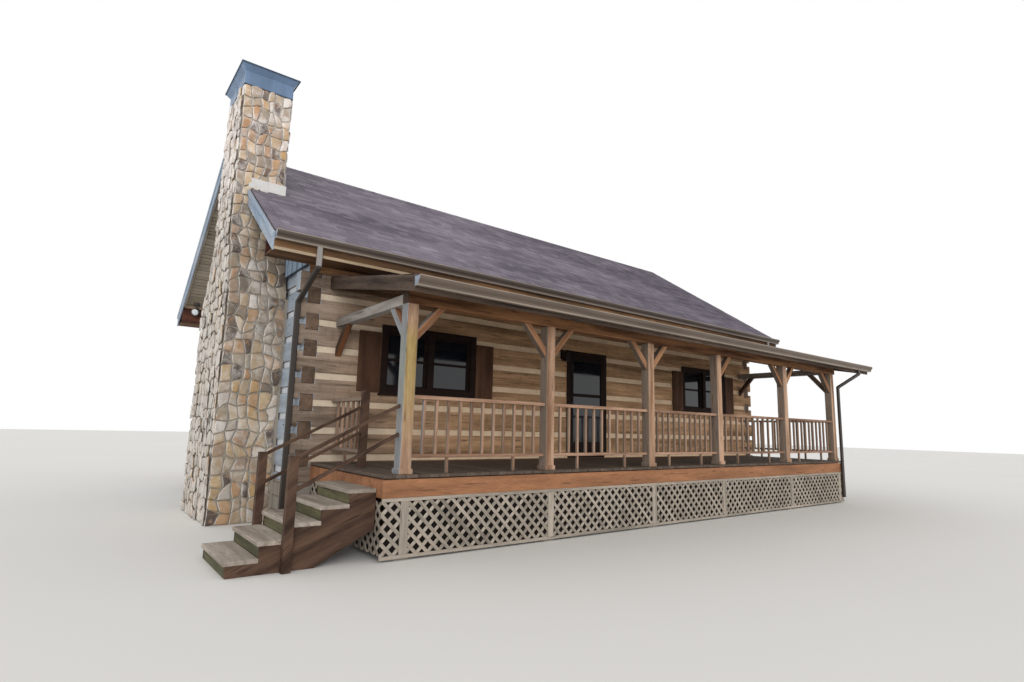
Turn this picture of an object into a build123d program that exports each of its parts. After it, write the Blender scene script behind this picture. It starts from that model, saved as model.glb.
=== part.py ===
from build123d import *
import math
import os

# Hewn-log cabin with a full-length front porch and a fieldstone chimney.
# Millimetres. X runs along the front, Y into the house, Z up from the ground.
# The origin is under the front foundation wall, half way along it.

# House body
length_over_logs = 12190
house_depth = 7320
deck_height = 930
first_log_below_deck = 290
sill_above_deck = 55
foundation_thickness = 300

# Hewn logs and mortar
log_thickness = 200
log_height = 299
chink_height = 97
chink_recess = 25
course_count = 8
log_overrun = 120
log_end_shoulder = 30
opening_head_course = 6

# Main roof
roof_pitch = 2 / 3
roof_thickness = 90
roof_above_plate = 273
eave_overhang = 460
rake_overhang = 530
ridge_cap_width = 170
ridge_cap_thickness = 12
mitre_gap = 3

# Roof trim
rake_board_depth = 275
rake_board_thickness = 25
rake_trim_depth = 95
rake_trim_thickness = 20
shingle_drip = 15
fascia_thickness = 25
fascia_below_plate = 8
soffit_rise = 10
soffit_thickness = 20
frieze_depth = 110
frieze_thickness = 25
siding_thickness = 30
siding_frame_depth = 90

# Gutters and downspouts
gutter_depth = 118
gutter_width = 120
gutter_wall = 4
pipe_width = 75
pipe_depth = 55
pipe_foot_height = 120
corner_outlet_inset = 70
corner_outlet_drop = 300
corner_offset_drop = 420
porch_outlet_drop = 100
porch_offset_drop = 320
porch_outlet_beyond_post = 432

# Chimney
chimney_depth = 880
chimney_width = 1100
stack_setback = 100
chimney_from_ridge = 1810
front_shoulder = 350
back_shoulder = 500
shoulder_top_above_plate = 622
shoulder_slope_height = 1000
chimney_above_ridge = 425
chimney_roof_gap = 12
cap_band_height = 235
cap_flare_height = 115
cap_flare_reach = 85
cap_sheet = 14
flashing_height = 170
flashing_thickness = 22
flashing_lap_thickness = 12

# Front door
door_center_x = -185
door_width = 914
door_thickness = 44
door_gap = 8
door_floor_gap = 12
jamb_thickness = 40
stop_depth = 30
stop_width = 16
casing_width = 60
casing_thickness = 22
casing_lap = 50
door_stile = 60
door_top_rail = 100
door_kick_rail = 250
door_bar_rise = 1153
door_bar_height = 60
hinge_radius = 7
hinge_pin_radius = 4
hinge_running_gap = 0.05
hinge_stand_off = 13
hinge_plate = 8
hinge_reach = 70
hinge_barrel_height = 60
hinge_knuckle_height = 20
hinge_knuckle_gap = 5
hinge_end_inset = 220
hinge_sides = 8
knob_inset = 48
knob_radius = 20
knob_length = 24
knob_neck_length = 30
knob_sides = 12
rose_radius = 24
rose_thickness = 8

# Windows and shutters
left_window_share = -0.317
right_window_share = 0.322
back_window_share = 0.32
window_width = 1680
window_bottom_above_deck = 1105
window_frame_depth = 150
window_frame_bar = 45
mullion_width = 110
sash_setback = 40
sash_bar = 42
sash_depth = 45
meeting_rail_height = 42
glass_thickness = 6
window_sill_height = 30
window_sill_reach = 30
window_sill_horn = 20
shutter_width = 370
shutter_height = 940
shutter_top_above_deck = 2000
shutter_thickness = 32
shutter_stile = 65
shutter_gap = 2

# Wall lantern
lantern_from_door = 188
lantern_height = 2070
lantern_size = 110
lantern_body_height = 170
lantern_roof_height = 50
lantern_arm = 120
lantern_plate = 12

# Porch floor
deck_thickness = 38
deck_nose = 10
deck_beyond_first_post = 283
deck_beyond_last_post = 187
joist_height = 184
joist_width = 45
joist_count = 5
girder_height = 188
girder_width = 90
girder_wall_gap = 50
pier_size = 190
band_height = 203
band_thickness = 38
band_below_deck = 12

# Skirt under the porch
skirt_proud = 4
skirt_strip_height = 38
skirt_strip_thickness = 20
skirt_stile_width = 100
skirt_bottom = 60
lattice_pitch = 250
lattice_bar = 42
lattice_thickness = 14

# Porch posts, beam and braces
post_count = 6
post_size = 150
post_line_from_wall = 2275
first_post_inset = 638
last_post_inset = 541
fourth_post_shift = -240
plinth_size = 180
plinth_height = 60
beam_above_deck = 2000
beam_overrun = 90
tie_height = 130
tie_width = 120
brace_size = 90
brace_rise = 450
brace_run = 400

# Porch roof
porch_pitch = 0.19
porch_roof_below_frieze = 10
porch_roof_thickness = 50
porch_eave_from_wall = 2690
porch_roof_beyond_post = 168
porch_gutter_drop = 20
rafter_height = 90
rafter_width = 45
rafter_spacing = 600
ledger_thickness = 40
ledger_extra_depth = 40
porch_fascia_depth = 190
porch_fascia_thickness = 22
porch_fascia_drop = 8

# Railing
rail_height = 914
top_rail_height = 45
top_rail_width = 90
bottom_rail_height = 42
bottom_rail_width = 60
bottom_rail_rise = 182
baluster_size = 36
baluster_count = 11
short_baluster_count = 5
long_baluster = 2

# Steps
wanted_riser = 155
tread_run = 300
tread_nose = 25
tread_thickness = 45
riser_thickness = 22
stair_near_from_wall = 2230
stair_far_from_wall = 1160
stringer_width = 45
stringer_depth = 240
step_post_size = 90
step_post_setback = 955
step_post_cap = 60
step_rail_height = 40
step_rail_width = 40
step_rail_rise = 760
step_lower_rail_drop = 330
newel_height = 1000

# Heights worked out from the sizes above
course = log_height + chink_height
foundation_height = deck_height - first_log_below_deck
floor_top = deck_height + sill_above_deck
plate_bottom = foundation_height + course_count * course
plate_top = plate_bottom + log_height
opening_head = foundation_height + opening_head_course * course
roof_at_wall_face = plate_top + roof_above_plate
fascia_bottom = plate_bottom - fascia_below_plate
soffit_bottom = fascia_bottom + soffit_rise
frieze_bottom = soffit_bottom - frieze_depth
shoulder_top = plate_bottom + shoulder_top_above_plate
shoulder_bottom = shoulder_top - shoulder_slope_height
window_bottom = deck_height + window_bottom_above_deck
shutter_top = deck_height + shutter_top_above_deck
beam_underside = deck_height + beam_above_deck
porch_roof_at_wall = frieze_bottom - porch_roof_below_frieze
joist_bottom = deck_height - deck_thickness - joist_height
girder_bottom = joist_bottom - girder_height
band_top = deck_height - deck_thickness - band_below_deck
band_bottom = band_top - band_height

# Plan positions worked out from the sizes above
log_end_x = length_over_logs / 2
wall_x = log_end_x - log_overrun
front_face = -log_thickness / 2
back_line = house_depth - log_thickness
back_face = back_line + log_thickness / 2
ridge_y = back_line / 2
roof_right = log_end_x + rake_overhang
roof_left = -roof_right
eave_y = front_face - eave_overhang
back_eave_y = 2 * ridge_y - eave_y
gutter_back = eave_y - fascia_thickness
chimney_outer = -wall_x - chimney_depth
chimney_inner = -wall_x - siding_thickness
stack_inner = chimney_inner - stack_setback
chimney_front = ridge_y - chimney_from_ridge - chimney_width / 2
chimney_back = chimney_front + chimney_width
first_post_x = -log_end_x + first_post_inset
last_post_x = log_end_x - last_post_inset
bay = (last_post_x - first_post_x) / (post_count - 1)
post_line = front_face - post_line_from_wall
post_front = post_line - post_size / 2
post_back = post_line + post_size / 2
deck_left = first_post_x - deck_beyond_first_post
deck_right = last_post_x + deck_beyond_last_post
band_face = post_front - band_thickness
deck_front = band_face - deck_nose
porch_eave_y = front_face - porch_eave_from_wall
porch_roof_left = first_post_x - porch_roof_beyond_post
porch_roof_right = roof_right
stair_near = front_face - stair_near_from_wall
stair_far = front_face - stair_far_from_wall
riser_count = round(deck_height / wanted_riser)
riser_height = deck_height / riser_count


def block(x0, x1, y0, y1, z0, z1):
    """A squared piece between two opposite corners."""
    middle = Pos((x0 + x1) / 2, (y0 + y1) / 2, (z0 + z1) / 2)
    return middle * Box(abs(x1 - x0), abs(y1 - y0), abs(z1 - z0))


def drawn_along_x(outline, x0, x1):
    """A (y, z) outline drawn out between two X positions."""
    face = Plane.YZ * make_face(Polyline(*outline, close=True))
    return Pos(min(x0, x1), 0, 0) * extrude(face, abs(x1 - x0))


def drawn_along_y(outline, y0, y1):
    """An (x, z) outline drawn out between two Y positions."""
    face = Plane.XZ * make_face(Polyline(*outline, close=True))
    return Pos(0, max(y0, y1), 0) * extrude(face, abs(y1 - y0))


def flared(x, y, z0, z1, low_size, high_size):
    """A block whose plan changes from one size to another on its way up."""
    (low_w, low_d), (high_w, high_d) = low_size, high_size
    across = [(x - low_w / 2, z0), (x + low_w / 2, z0), (x + high_w / 2, z1), (x - high_w / 2, z1)]
    along = [(y - low_d / 2, z0), (y + low_d / 2, z0), (y + high_d / 2, z1), (y - high_d / 2, z1)]
    return drawn_along_y(across, y - high_d - low_d, y + high_d + low_d) & drawn_along_x(
        along, x - high_w - low_w, x + high_w + low_w)


def save(name, pieces):
    """Write one node from its solids."""
    solids = []
    for piece in pieces:
        solids.extend(piece.solids())
    export_step(Compound(children=solids), f"parts/{name}.step")


def main_roof_z(y):
    """Height of the main roof's top surface over any Y."""
    return roof_at_wall_face + roof_pitch * (ridge_y - front_face - abs(y - ridge_y))


def porch_roof_z(y):
    """Height of the porch roof's top surface over any Y."""
    return porch_roof_at_wall + porch_pitch * (y - front_face)


def post_x(index):
    """Middle of a porch post along the front."""
    shift = fourth_post_shift if index == 3 else 0
    return first_post_x + index * bay + shift


def centred_span(center, width):
    return center - width / 2, center + width / 2


def log_bottom(index):
    return foundation_height + index * course


def spans_between(x0, x1, holes):
    """Stretches from x0 to x1 that are left between the holes."""
    spans = []
    start = x0
    for left, right in sorted(holes):
        spans.append((start, left))
        start = right
    spans.append((start, x1))
    return spans


# Openings in the long walls
door_span = centred_span(door_center_x, door_width + 2 * door_gap + 2 * jamb_thickness)
window_left_x = left_window_share * length_over_logs
window_right_x = right_window_share * length_over_logs
back_window_x = back_window_share * length_over_logs
front_window_spans = [centred_span(window_left_x, window_width), centred_span(window_right_x, window_width)]
back_window_spans = [centred_span(-back_window_x, window_width), centred_span(back_window_x, window_width)]


def course_openings(index, window_spans, door):
    """Openings that cut right through a course, and window bottoms let into its top."""
    z0 = log_bottom(index)
    z1 = z0 + log_height
    if index >= opening_head_course:
        return [], []
    through = [span for span in window_spans if window_bottom <= z0]
    let_in = [span for span in window_spans if z0 < window_bottom < z1]
    if door is not None and z1 > floor_top:
        through.append(door)
    return through, let_in


def corner_notch(line_y, side, z0, z1):
    """Room in a long log for one gable log's end."""
    near, far = line_y - log_thickness / 2, line_y + log_thickness / 2
    return block(side * (wall_x - log_thickness), side * wall_x, near, far, z0, z1)


def long_log(index, line_y, through, let_in):
    """One front or back log, notched over the gable logs and cut at the openings."""
    z0 = log_bottom(index)
    z1 = z0 + log_height
    plate = index == course_count
    reach = wall_x if plate else log_end_x
    notch = log_height - course / 2 - log_end_shoulder
    near, far = line_y - log_thickness / 2, line_y + log_thickness / 2
    pieces = []
    for x0, x1 in spans_between(-reach, reach, through):
        log = block(x0, x1, near, far, z0, z1)
        for side in (-1, 1):
            if not x0 < side * (wall_x - log_thickness / 2) < x1:
                continue
            if index > 0 and not plate:
                log -= corner_notch(line_y, side, z0, z0 + notch)
            if not plate:
                log -= corner_notch(line_y, side, z1 - notch, z1)
        for left, right in let_in:
            if x0 < left and right < x1:
                log -= block(left, right, near, far, window_bottom, z1)
        pieces.append(log)
    return pieces


def gable_log(index, side):
    """One gable log, half a course off, with shouldered ends that show at the corners."""
    z0 = max(log_bottom(index) - course / 2, foundation_height)
    z1 = min(log_bottom(index) - course / 2 + log_height, plate_bottom)
    inner, outer = side * (wall_x - log_thickness), side * wall_x
    if index == 0:
        return block(inner, outer, -front_face, back_line + front_face, z0, z1)
    log = block(inner, outer, front_face, back_face, z0, z1)
    for line_y in (0, back_line):
        log -= corner_notch(line_y, side, z0, z0 + log_end_shoulder)
        if z1 < plate_bottom:
            log -= corner_notch(line_y, side, z1 - log_end_shoulder, z1)
    return log


def front_wall():
    """Front logs: full-length ones, and those left and right of the door."""
    left, right, full = [], [], []
    for index in range(course_count + 1):
        through, let_in = course_openings(index, front_window_spans, door_span)
        for piece in long_log(index, 0, through, let_in):
            if not through:
                full.append(piece)
            elif piece.center(CenterOf.BOUNDING_BOX).X < door_center_x:
                left.append(piece)
            else:
                right.append(piece)
    save("front_logs_left", left)
    save("front_logs_right", right)
    save("front_logs_full_length", full)


def back_wall():
    logs = []
    for index in range(course_count + 1):
        through, let_in = course_openings(index, back_window_spans, None)
        logs += long_log(index, back_line, through, let_in)
    save("back_logs", logs)


def gable_walls():
    save("gable_logs", [gable_log(index, side) for side in (-1, 1) for index in range(course_count + 1)])


def long_chinking(line_y, window_spans, door):
    """Mortar bands between the logs of a long wall, kept back from both faces."""
    strips = []
    half_depth = log_thickness / 2 - chink_recess
    reach = wall_x - log_thickness
    for index in range(course_count):
        z0 = log_bottom(index) + log_height
        z1 = z0 + chink_height
        holes = []
        if index < opening_head_course:
            holes = [span for span in window_spans if window_bottom < z1]
        if index < opening_head_course and door is not None and z1 > floor_top:
            holes.append(door)
        for x0, x1 in spans_between(-reach, reach, holes):
            strips.append(block(x0, x1, line_y - half_depth, line_y + half_depth, z0, z1))
    return strips


def gable_chinking(side):
    strips = []
    half_depth = log_thickness / 2 - chink_recess
    line_x = side * (wall_x - log_thickness / 2)
    for index in range(course_count):
        z0 = log_bottom(index) - course / 2 + log_height
        strips.append(block(line_x - half_depth, line_x + half_depth, -front_face, back_line + front_face,
                            z0, z0 + chink_height))
    return strips


def chinking():
    front = long_chinking(0, front_window_spans, door_span)
    back = long_chinking(back_line, back_window_spans, None)
    save("chinking", front + back + gable_chinking(-1) + gable_chinking(1))


def foundation():
    inner_front, inner_back = front_face + foundation_thickness, back_face - foundation_thickness
    save("foundation_long_walls", [block(-wall_x, wall_x, front_face, inner_front, 0, foundation_height),
                                   block(-wall_x, wall_x, inner_back, back_face, 0, foundation_height)])
    save("foundation_end_walls", [block(side * (wall_x - foundation_thickness), side * wall_x, inner_front,
                                        inner_back, 0, foundation_height) for side in (-1, 1)])


def house_floor():
    reach = wall_x - log_thickness
    save("house_floor", [block(-reach, reach, -front_face, back_line + front_face,
                               foundation_height, floor_top)])


# Gables and main roof

def gable_outline(first_y, last_y, bottom, shoulder_z):
    """Gable outline under the roof slab, whose feet stand on the plate logs where asked."""
    drop = roof_thickness * math.sqrt(1 + roof_pitch ** 2)
    top = [(y, main_roof_z(y) - drop) for y in (back_face, ridge_y, front_face)]
    if shoulder_z == bottom:
        return [(front_face, bottom), (back_face, bottom)] + top
    feet = [(first_y, bottom), (last_y, bottom), (last_y, shoulder_z), (back_face, shoulder_z)]
    return feet + top + [(front_face, shoulder_z), (first_y, shoulder_z)]


def gable_siding():
    """Boards outside and framing inside, over the gable logs."""
    boards = gable_outline(front_face, back_face, plate_bottom, plate_bottom)
    frame = gable_outline(-front_face, back_line + front_face, plate_bottom, plate_top)
    gables = []
    for side in (-1, 1):
        skin = drawn_along_x(boards, side * wall_x, side * (wall_x + siding_thickness))
        gables.append(skin + drawn_along_x(frame, side * (wall_x - siding_frame_depth), side * wall_x))
    save("gable_siding", gables)


def chimney_notch():
    """Space that the roof and its trim leave round the stack."""
    return block(chimney_outer - chimney_roof_gap, stack_inner + chimney_roof_gap,
                 chimney_front - chimney_roof_gap, chimney_back + chimney_roof_gap,
                 shoulder_top, main_roof_z(ridge_y) + chimney_above_ridge)


def slope_outline(eave, ridge, top_drop, low_drop):
    """Outline of anything that follows one roof slope, from eave to ridge."""
    return [(eave, main_roof_z(eave) - top_drop), (ridge, main_roof_z(ridge) - top_drop),
            (ridge, main_roof_z(ridge) - low_drop), (eave, main_roof_z(eave) - low_drop)]


def main_roof():
    drop = roof_thickness * math.sqrt(1 + roof_pitch ** 2)
    front = drawn_along_x(slope_outline(eave_y, ridge_y, 0, drop), roof_left, roof_right)
    back = drawn_along_x(slope_outline(back_eave_y, ridge_y, 0, drop), roof_left, roof_right)
    save("main_roof_front", [front - chimney_notch()])
    save("main_roof_back", [back])


def ridge_cap():
    halves = []
    for side in (-1, 1):
        edge = ridge_y + side * ridge_cap_width
        outline = slope_outline(edge, ridge_y, -ridge_cap_thickness, 0)
        halves.append(drawn_along_x(outline, roof_left, roof_right))
    save("ridge_cap", [halves[0] + halves[1]])


def rake_halves():
    """Eave and ridge ends of the boards on each slope, with a fine gap at the ridge mitre."""
    return ((eave_y - fascia_thickness, ridge_y - mitre_gap / 2),
            (back_eave_y + fascia_thickness, ridge_y + mitre_gap / 2))


def rake_boards():
    boards = []
    for side, edge in ((-1, roof_left), (1, roof_right)):
        board_face = edge + side * rake_board_thickness
        trim_face = board_face + side * rake_trim_thickness
        for eave, ridge in rake_halves():
            wide = slope_outline(eave, ridge, shingle_drip, rake_board_depth)
            narrow = slope_outline(eave, ridge, shingle_drip, rake_trim_depth)
            board = drawn_along_x(wide, edge, board_face) + drawn_along_x(narrow, board_face, trim_face)
            boards.append(board - chimney_notch())
    save("rake_boards", boards)


def eave_fascias():
    top = main_roof_z(eave_y) - shingle_drip
    save("eave_fascias", [
        block(roof_left, roof_right, eave_y - fascia_thickness, eave_y, fascia_bottom, top),
        block(roof_left, roof_right, back_eave_y, back_eave_y + fascia_thickness, fascia_bottom, top)])


def eave_soffits():
    """Level soffit boards and the frieze board under them, front and back."""
    pieces = []
    for wall, eave, outward in ((front_face, eave_y, -1), (back_face, back_eave_y, 1)):
        face = wall + outward * frieze_thickness
        soffit = block(roof_left, roof_right, wall, eave, soffit_bottom, soffit_bottom + soffit_thickness)
        pieces.append(soffit + block(-wall_x, wall_x, wall, face, frieze_bottom, soffit_bottom))
    return pieces


def soffit_drop():
    """Height from the shingles' top down to the underside of the rake soffit."""
    return roof_thickness * math.sqrt(1 + roof_pitch ** 2) + soffit_thickness


def rake_soffits():
    """Boards that close the underside of the rake overhang on each slope."""
    low = soffit_drop()
    pieces = []
    for side, edge in ((-1, roof_left), (1, roof_right)):
        for eave, ridge in ((eave_y, ridge_y - mitre_gap / 2), (back_eave_y, ridge_y + mitre_gap / 2)):
            outline = slope_outline(eave, ridge, low - soffit_thickness, low)
            pieces.append(drawn_along_x(outline, edge, side * (wall_x + siding_thickness)) - chimney_notch())
    return pieces


def soffits():
    save("roof_soffits", eave_soffits() + rake_soffits())


# Chimney

chimney_top = main_roof_z(ridge_y) + chimney_above_ridge


def chimney():
    """Fieldstone stack with sloped shoulders over a wider foot, set back where it passes the roof."""
    base_front, base_back = chimney_front - front_shoulder, chimney_back + back_shoulder
    outline = [(base_front, 0), (base_back, 0), (base_back, shoulder_bottom), (chimney_back, shoulder_top),
               (chimney_back, chimney_top), (chimney_front, chimney_top), (chimney_front, shoulder_top),
               (base_front, shoulder_bottom)]
    stack = drawn_along_x(outline, chimney_outer, stack_inner)
    under_soffit = soffit_drop() + chimney_roof_gap
    against_siding = outline[:4] + [(chimney_back, main_roof_z(chimney_back) - under_soffit),
                                    (chimney_front, main_roof_z(chimney_front) - under_soffit)] + outline[6:]
    stack += drawn_along_x(against_siding, stack_inner, chimney_inner)
    against_logs = block(chimney_inner, -wall_x, base_front, base_back, 0, shoulder_bottom)
    save("chimney_stack", [stack + against_logs])


def chimney_cap():
    """Sheet-metal band round the top of the stack, flared out to a lid."""
    x_mid, y_mid = (chimney_outer + stack_inner) / 2, (chimney_front + chimney_back) / 2
    width, depth = stack_inner - chimney_outer, chimney_width
    band_base = chimney_top - cap_band_height
    outer_w, outer_d = width + 2 * cap_sheet, depth + 2 * cap_sheet
    band = Pos(x_mid, y_mid, band_base + cap_band_height / 2) * Box(outer_w, outer_d, cap_band_height)
    bore = Pos(x_mid, y_mid, band_base + cap_band_height / 2) * Box(width, depth, cap_band_height)
    lid = flared(x_mid, y_mid, chimney_top, chimney_top + cap_flare_height, (outer_w, outer_d),
                 (outer_w + 2 * cap_flare_reach, outer_d + 2 * cap_flare_reach))
    save("chimney_cap", [band + lid - bore])


def chimney_flashing():
    """Sheet-metal apron in front of the stack and upstand along its inner side."""
    start = chimney_front - flashing_height
    upright = chimney_front - flashing_thickness
    top = main_roof_z(chimney_front) + flashing_height
    lap = flashing_lap_thickness
    outline = [(start, main_roof_z(start)), (chimney_front, main_roof_z(chimney_front)), (chimney_front, top),
               (upright, top), (upright, main_roof_z(upright) + lap), (start, main_roof_z(start) + lap)]
    inner = stack_inner + flashing_thickness
    side = [(chimney_front, main_roof_z(chimney_front)), (chimney_back, main_roof_z(chimney_back)),
            (chimney_back, main_roof_z(chimney_back) + flashing_height), (chimney_front, top)]
    apron = drawn_along_x(outline, roof_left, inner)
    save("chimney_flashing", [apron + drawn_along_x(side, stack_inner, inner)])


# Gutters and downspouts

main_gutter_top = main_roof_z(eave_y) - shingle_drip
porch_fascia_face = porch_eave_y - porch_fascia_thickness
porch_gutter_top = porch_roof_z(porch_eave_y) - porch_gutter_drop


def gutter_trough(x0, x1, back_y, outward, top_z):
    """Open trough with closed ends, hung on a fascia."""
    far = back_y + outward * gutter_width
    near_y, far_y = min(back_y, far), max(back_y, far)
    low = top_z - gutter_depth
    trough = block(x0, x1, near_y, far_y, low, top_z)
    return trough - block(x0 + gutter_wall, x1 - gutter_wall, near_y + gutter_wall, far_y - gutter_wall,
                          low + gutter_wall, top_z)


def gutters():
    front = gutter_trough(roof_left, roof_right, gutter_back, -1, main_gutter_top)
    back = gutter_trough(roof_left, roof_right, back_eave_y + fascia_thickness, 1, main_gutter_top)
    porch = gutter_trough(porch_roof_left - porch_fascia_thickness, porch_roof_right + porch_fascia_thickness,
                          porch_fascia_face, -1, porch_gutter_top)
    save("gutters", [front, back, porch])


def pipe_runs(path):
    """Square-section downspout along straight runs with mitred elbows."""
    start = Plane(origin=path[0], x_dir=(1, 0, 0), z_dir=(0, 0, -1))
    return sweep(start * Rectangle(pipe_width, pipe_depth), path=Polyline(*path), transition=Transition.RIGHT)


def corner_downspout():
    x = -log_end_x + corner_outlet_inset
    y = gutter_back - gutter_width / 2
    z = main_gutter_top - gutter_depth
    wall_x_pos, wall_y = -log_end_x - pipe_width / 5, front_face - pipe_depth / 2
    elbow = z - corner_outlet_drop
    return pipe_runs([(x, y, z), (x, y, elbow), (wall_x_pos, wall_y, elbow - corner_offset_drop),
                      (wall_x_pos, wall_y, pipe_foot_height)])


def porch_downspout():
    x = last_post_x + porch_outlet_beyond_post
    y = porch_fascia_face - gutter_width / 2
    z = porch_gutter_top - gutter_depth
    post_side, pipe_y = last_post_x + post_size / 2 + pipe_width / 2, deck_front - pipe_depth / 2
    elbow = z - porch_outlet_drop
    return pipe_runs([(x, y, z), (x, y, elbow), (post_side, pipe_y, elbow - porch_offset_drop),
                      (post_side, pipe_y, pipe_foot_height)])


def short_downspout():
    """Stub from the main gutter onto the porch roof at the right end."""
    y = gutter_back - gutter_width / 2
    half = pipe_depth / 2
    return block(log_end_x - half, log_end_x + half, y - half, y + half, porch_roof_z(y + half),
                 main_gutter_top - gutter_depth)


def downspouts():
    save("downspouts", [corner_downspout(), porch_downspout(), short_downspout()])


# Front door

leaf_left = door_center_x - door_width / 2
leaf_right = leaf_left + door_width
leaf_bottom = floor_top + door_floor_gap
leaf_top = opening_head - jamb_thickness - door_gap
leaf_outer = front_face - casing_thickness
leaf_inner = leaf_outer + door_thickness
hinge_x = leaf_left - door_gap / 2
hinge_y = leaf_outer - hinge_stand_off
hinge_heights = (leaf_bottom + hinge_end_inset, (leaf_bottom + leaf_top) / 2, leaf_top - hinge_end_inset)
bar_bottom = leaf_bottom + door_bar_rise
bar_top = bar_bottom + door_bar_height
knob_x = leaf_right - knob_inset
knob_z = (bar_bottom + bar_top) / 2


def door_frame():
    """Jambs and head lining the log opening, with a stop and an outside casing."""
    left, right = door_span
    inner_left, inner_right = left + jamb_thickness, right - jamb_thickness
    head = opening_head - jamb_thickness
    jambs = block(left, right, front_face, -front_face, floor_top, opening_head)
    jambs -= block(inner_left, inner_right, front_face, -front_face, floor_top, head)
    stop_face = leaf_inner + door_gap
    stop = block(inner_left, inner_right, stop_face, stop_face + stop_depth, floor_top, head)
    stop -= block(inner_left + stop_width, inner_right - stop_width, stop_face, stop_face + stop_depth,
                  floor_top, head - stop_width)
    casing_face = front_face - casing_thickness
    casing = block(left - casing_width, right + casing_width, casing_face, front_face, floor_top,
                   opening_head + casing_lap)
    casing -= block(inner_left, inner_right, casing_face, front_face, floor_top, head)
    save("door_frame", [jambs + stop + casing])


def door_threshold():
    left, right = door_span
    log_top = log_bottom(0) + log_height
    save("door_threshold", [block(left, right, front_face - casing_thickness, -front_face,
                                  log_top, floor_top)])


def door_leaf():
    """Leaf with a large light above and below its bar, and the two panes."""
    x0, x1 = leaf_left + door_stile, leaf_right - door_stile
    middle = (leaf_outer + leaf_inner) / 2
    leaf = block(leaf_left, leaf_right, leaf_outer, leaf_inner, leaf_bottom, leaf_top)
    panes = []
    for z0, z1 in ((leaf_bottom + door_kick_rail, bar_bottom), (bar_top, leaf_top - door_top_rail)):
        leaf -= block(x0, x1, leaf_outer, leaf_inner, z0, z1)
        panes.append(block(x0, x1, middle - glass_thickness / 2, middle + glass_thickness / 2, z0, z1))
    save("door_leaf", [leaf])
    save("door_glass", panes)


def faceted_post(radius, sides, height):
    """Upright post with flat sides, standing on the origin."""
    return extrude(RegularPolygon(radius, sides), height)


def hinge_barrels():
    """Barrels that swing with the leaf, each bored for its pin."""
    barrels = []
    half = hinge_barrel_height / 2
    for z in hinge_heights:
        barrel = faceted_post(hinge_radius, hinge_sides, hinge_barrel_height)
        barrel = Pos(hinge_x, hinge_y, z - half) * barrel
        barrel += block(hinge_x + hinge_pin_radius, hinge_x + hinge_reach, leaf_outer - hinge_plate,
                        leaf_outer, z - half, z + half)
        bore = Cylinder(hinge_pin_radius + hinge_running_gap, hinge_barrel_height)
        barrels.append(barrel - Pos(hinge_x, hinge_y, z) * bore)
    return barrels


def hinge_pins():
    """Pins held by two knuckles each on the casing."""
    pins = []
    half = hinge_barrel_height / 2 + hinge_knuckle_gap
    reach = half + hinge_knuckle_height
    knuckle = faceted_post(hinge_radius, hinge_sides, hinge_knuckle_height)
    for z in hinge_heights:
        pin = Pos(hinge_x, hinge_y, z) * Cylinder(hinge_pin_radius, 2 * reach)
        for low in (z - reach, z + half):
            pin += Pos(hinge_x, hinge_y, low) * knuckle
            pin += block(door_span[0], hinge_x, leaf_outer - hinge_plate, leaf_outer, low,
                         low + hinge_knuckle_height)
        pins.append(pin)
    save("door_hinge_pins", pins)


def door_knob():
    """Knob on its rose and neck, standing up from the origin."""
    rings = []
    for share, size in ((0, 0.55), (0.35, 1), (1, 0.7)):
        height = rose_thickness + knob_neck_length + share * knob_length
        rings.append(Pos(0, 0, height) * RegularPolygon(size * knob_radius, knob_sides))
    rose = faceted_post(rose_radius, knob_sides, rose_thickness)
    neck = faceted_post(knob_radius / 3, knob_sides, rose_thickness + knob_neck_length)
    return rose + neck + loft(rings, ruled=True)


def door_knobs():
    """Knobs on both faces of the leaf, at the end of its bar."""
    knob = door_knob()
    return [Pos(knob_x, leaf_outer, knob_z) * Rot(90, 0, 0) * knob,
            Pos(knob_x, leaf_inner, knob_z) * Rot(-90, 0, 0) * knob]


def door_hardware():
    save("door_hardware", hinge_barrels() + door_knobs())


# Windows and shutters

def sash_spans():
    """Left and right sash openings of a double window centred on X = 0."""
    inner, outer = mullion_width / 2, window_width / 2 - window_frame_bar
    return (-outer, -inner), (inner, outer)


def sash_lights():
    """Height limits of the lower and upper panes."""
    low, high = window_bottom + window_frame_bar, opening_head - window_frame_bar
    middle = (low + high) / 2
    half_rail = meeting_rail_height / 2
    return (low + sash_bar, middle - half_rail), (middle + half_rail, high - sash_bar)


def double_window():
    """Frame, mullion, sashes, sill and outside casing, centred on X = 0."""
    half, back = window_width / 2, front_face + window_frame_depth
    casing_face = front_face - casing_thickness
    casing_foot = window_bottom - casing_width
    frame = block(-half, half, front_face, back, window_bottom, opening_head)
    frame += block(-half - casing_width, half + casing_width, casing_face, front_face, casing_foot,
                   opening_head + casing_lap)
    sill_half = half + casing_width + window_sill_horn
    frame += block(-sill_half, sill_half, casing_face - window_sill_reach, front_face,
                   casing_foot - window_sill_height, casing_foot)
    low, high = window_bottom + window_frame_bar, opening_head - window_frame_bar
    sash_face = front_face + sash_setback
    for x0, x1 in sash_spans():
        frame -= block(x0, x1, casing_face, sash_face, low, high)
        frame -= block(x0, x1, sash_face + sash_depth, back, low, high)
        for z0, z1 in sash_lights():
            frame -= block(x0 + sash_bar, x1 - sash_bar, sash_face, sash_face + sash_depth, z0, z1)
    return frame


def window_panes():
    """Four panes of one double window, seated in its sashes."""
    y0 = front_face + sash_setback + sash_depth / 2 - glass_thickness / 2
    return [block(x0 + sash_bar, x1 - sash_bar, y0, y0 + glass_thickness, z0, z1)
            for x0, x1 in sash_spans() for z0, z1 in sash_lights()]


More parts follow.
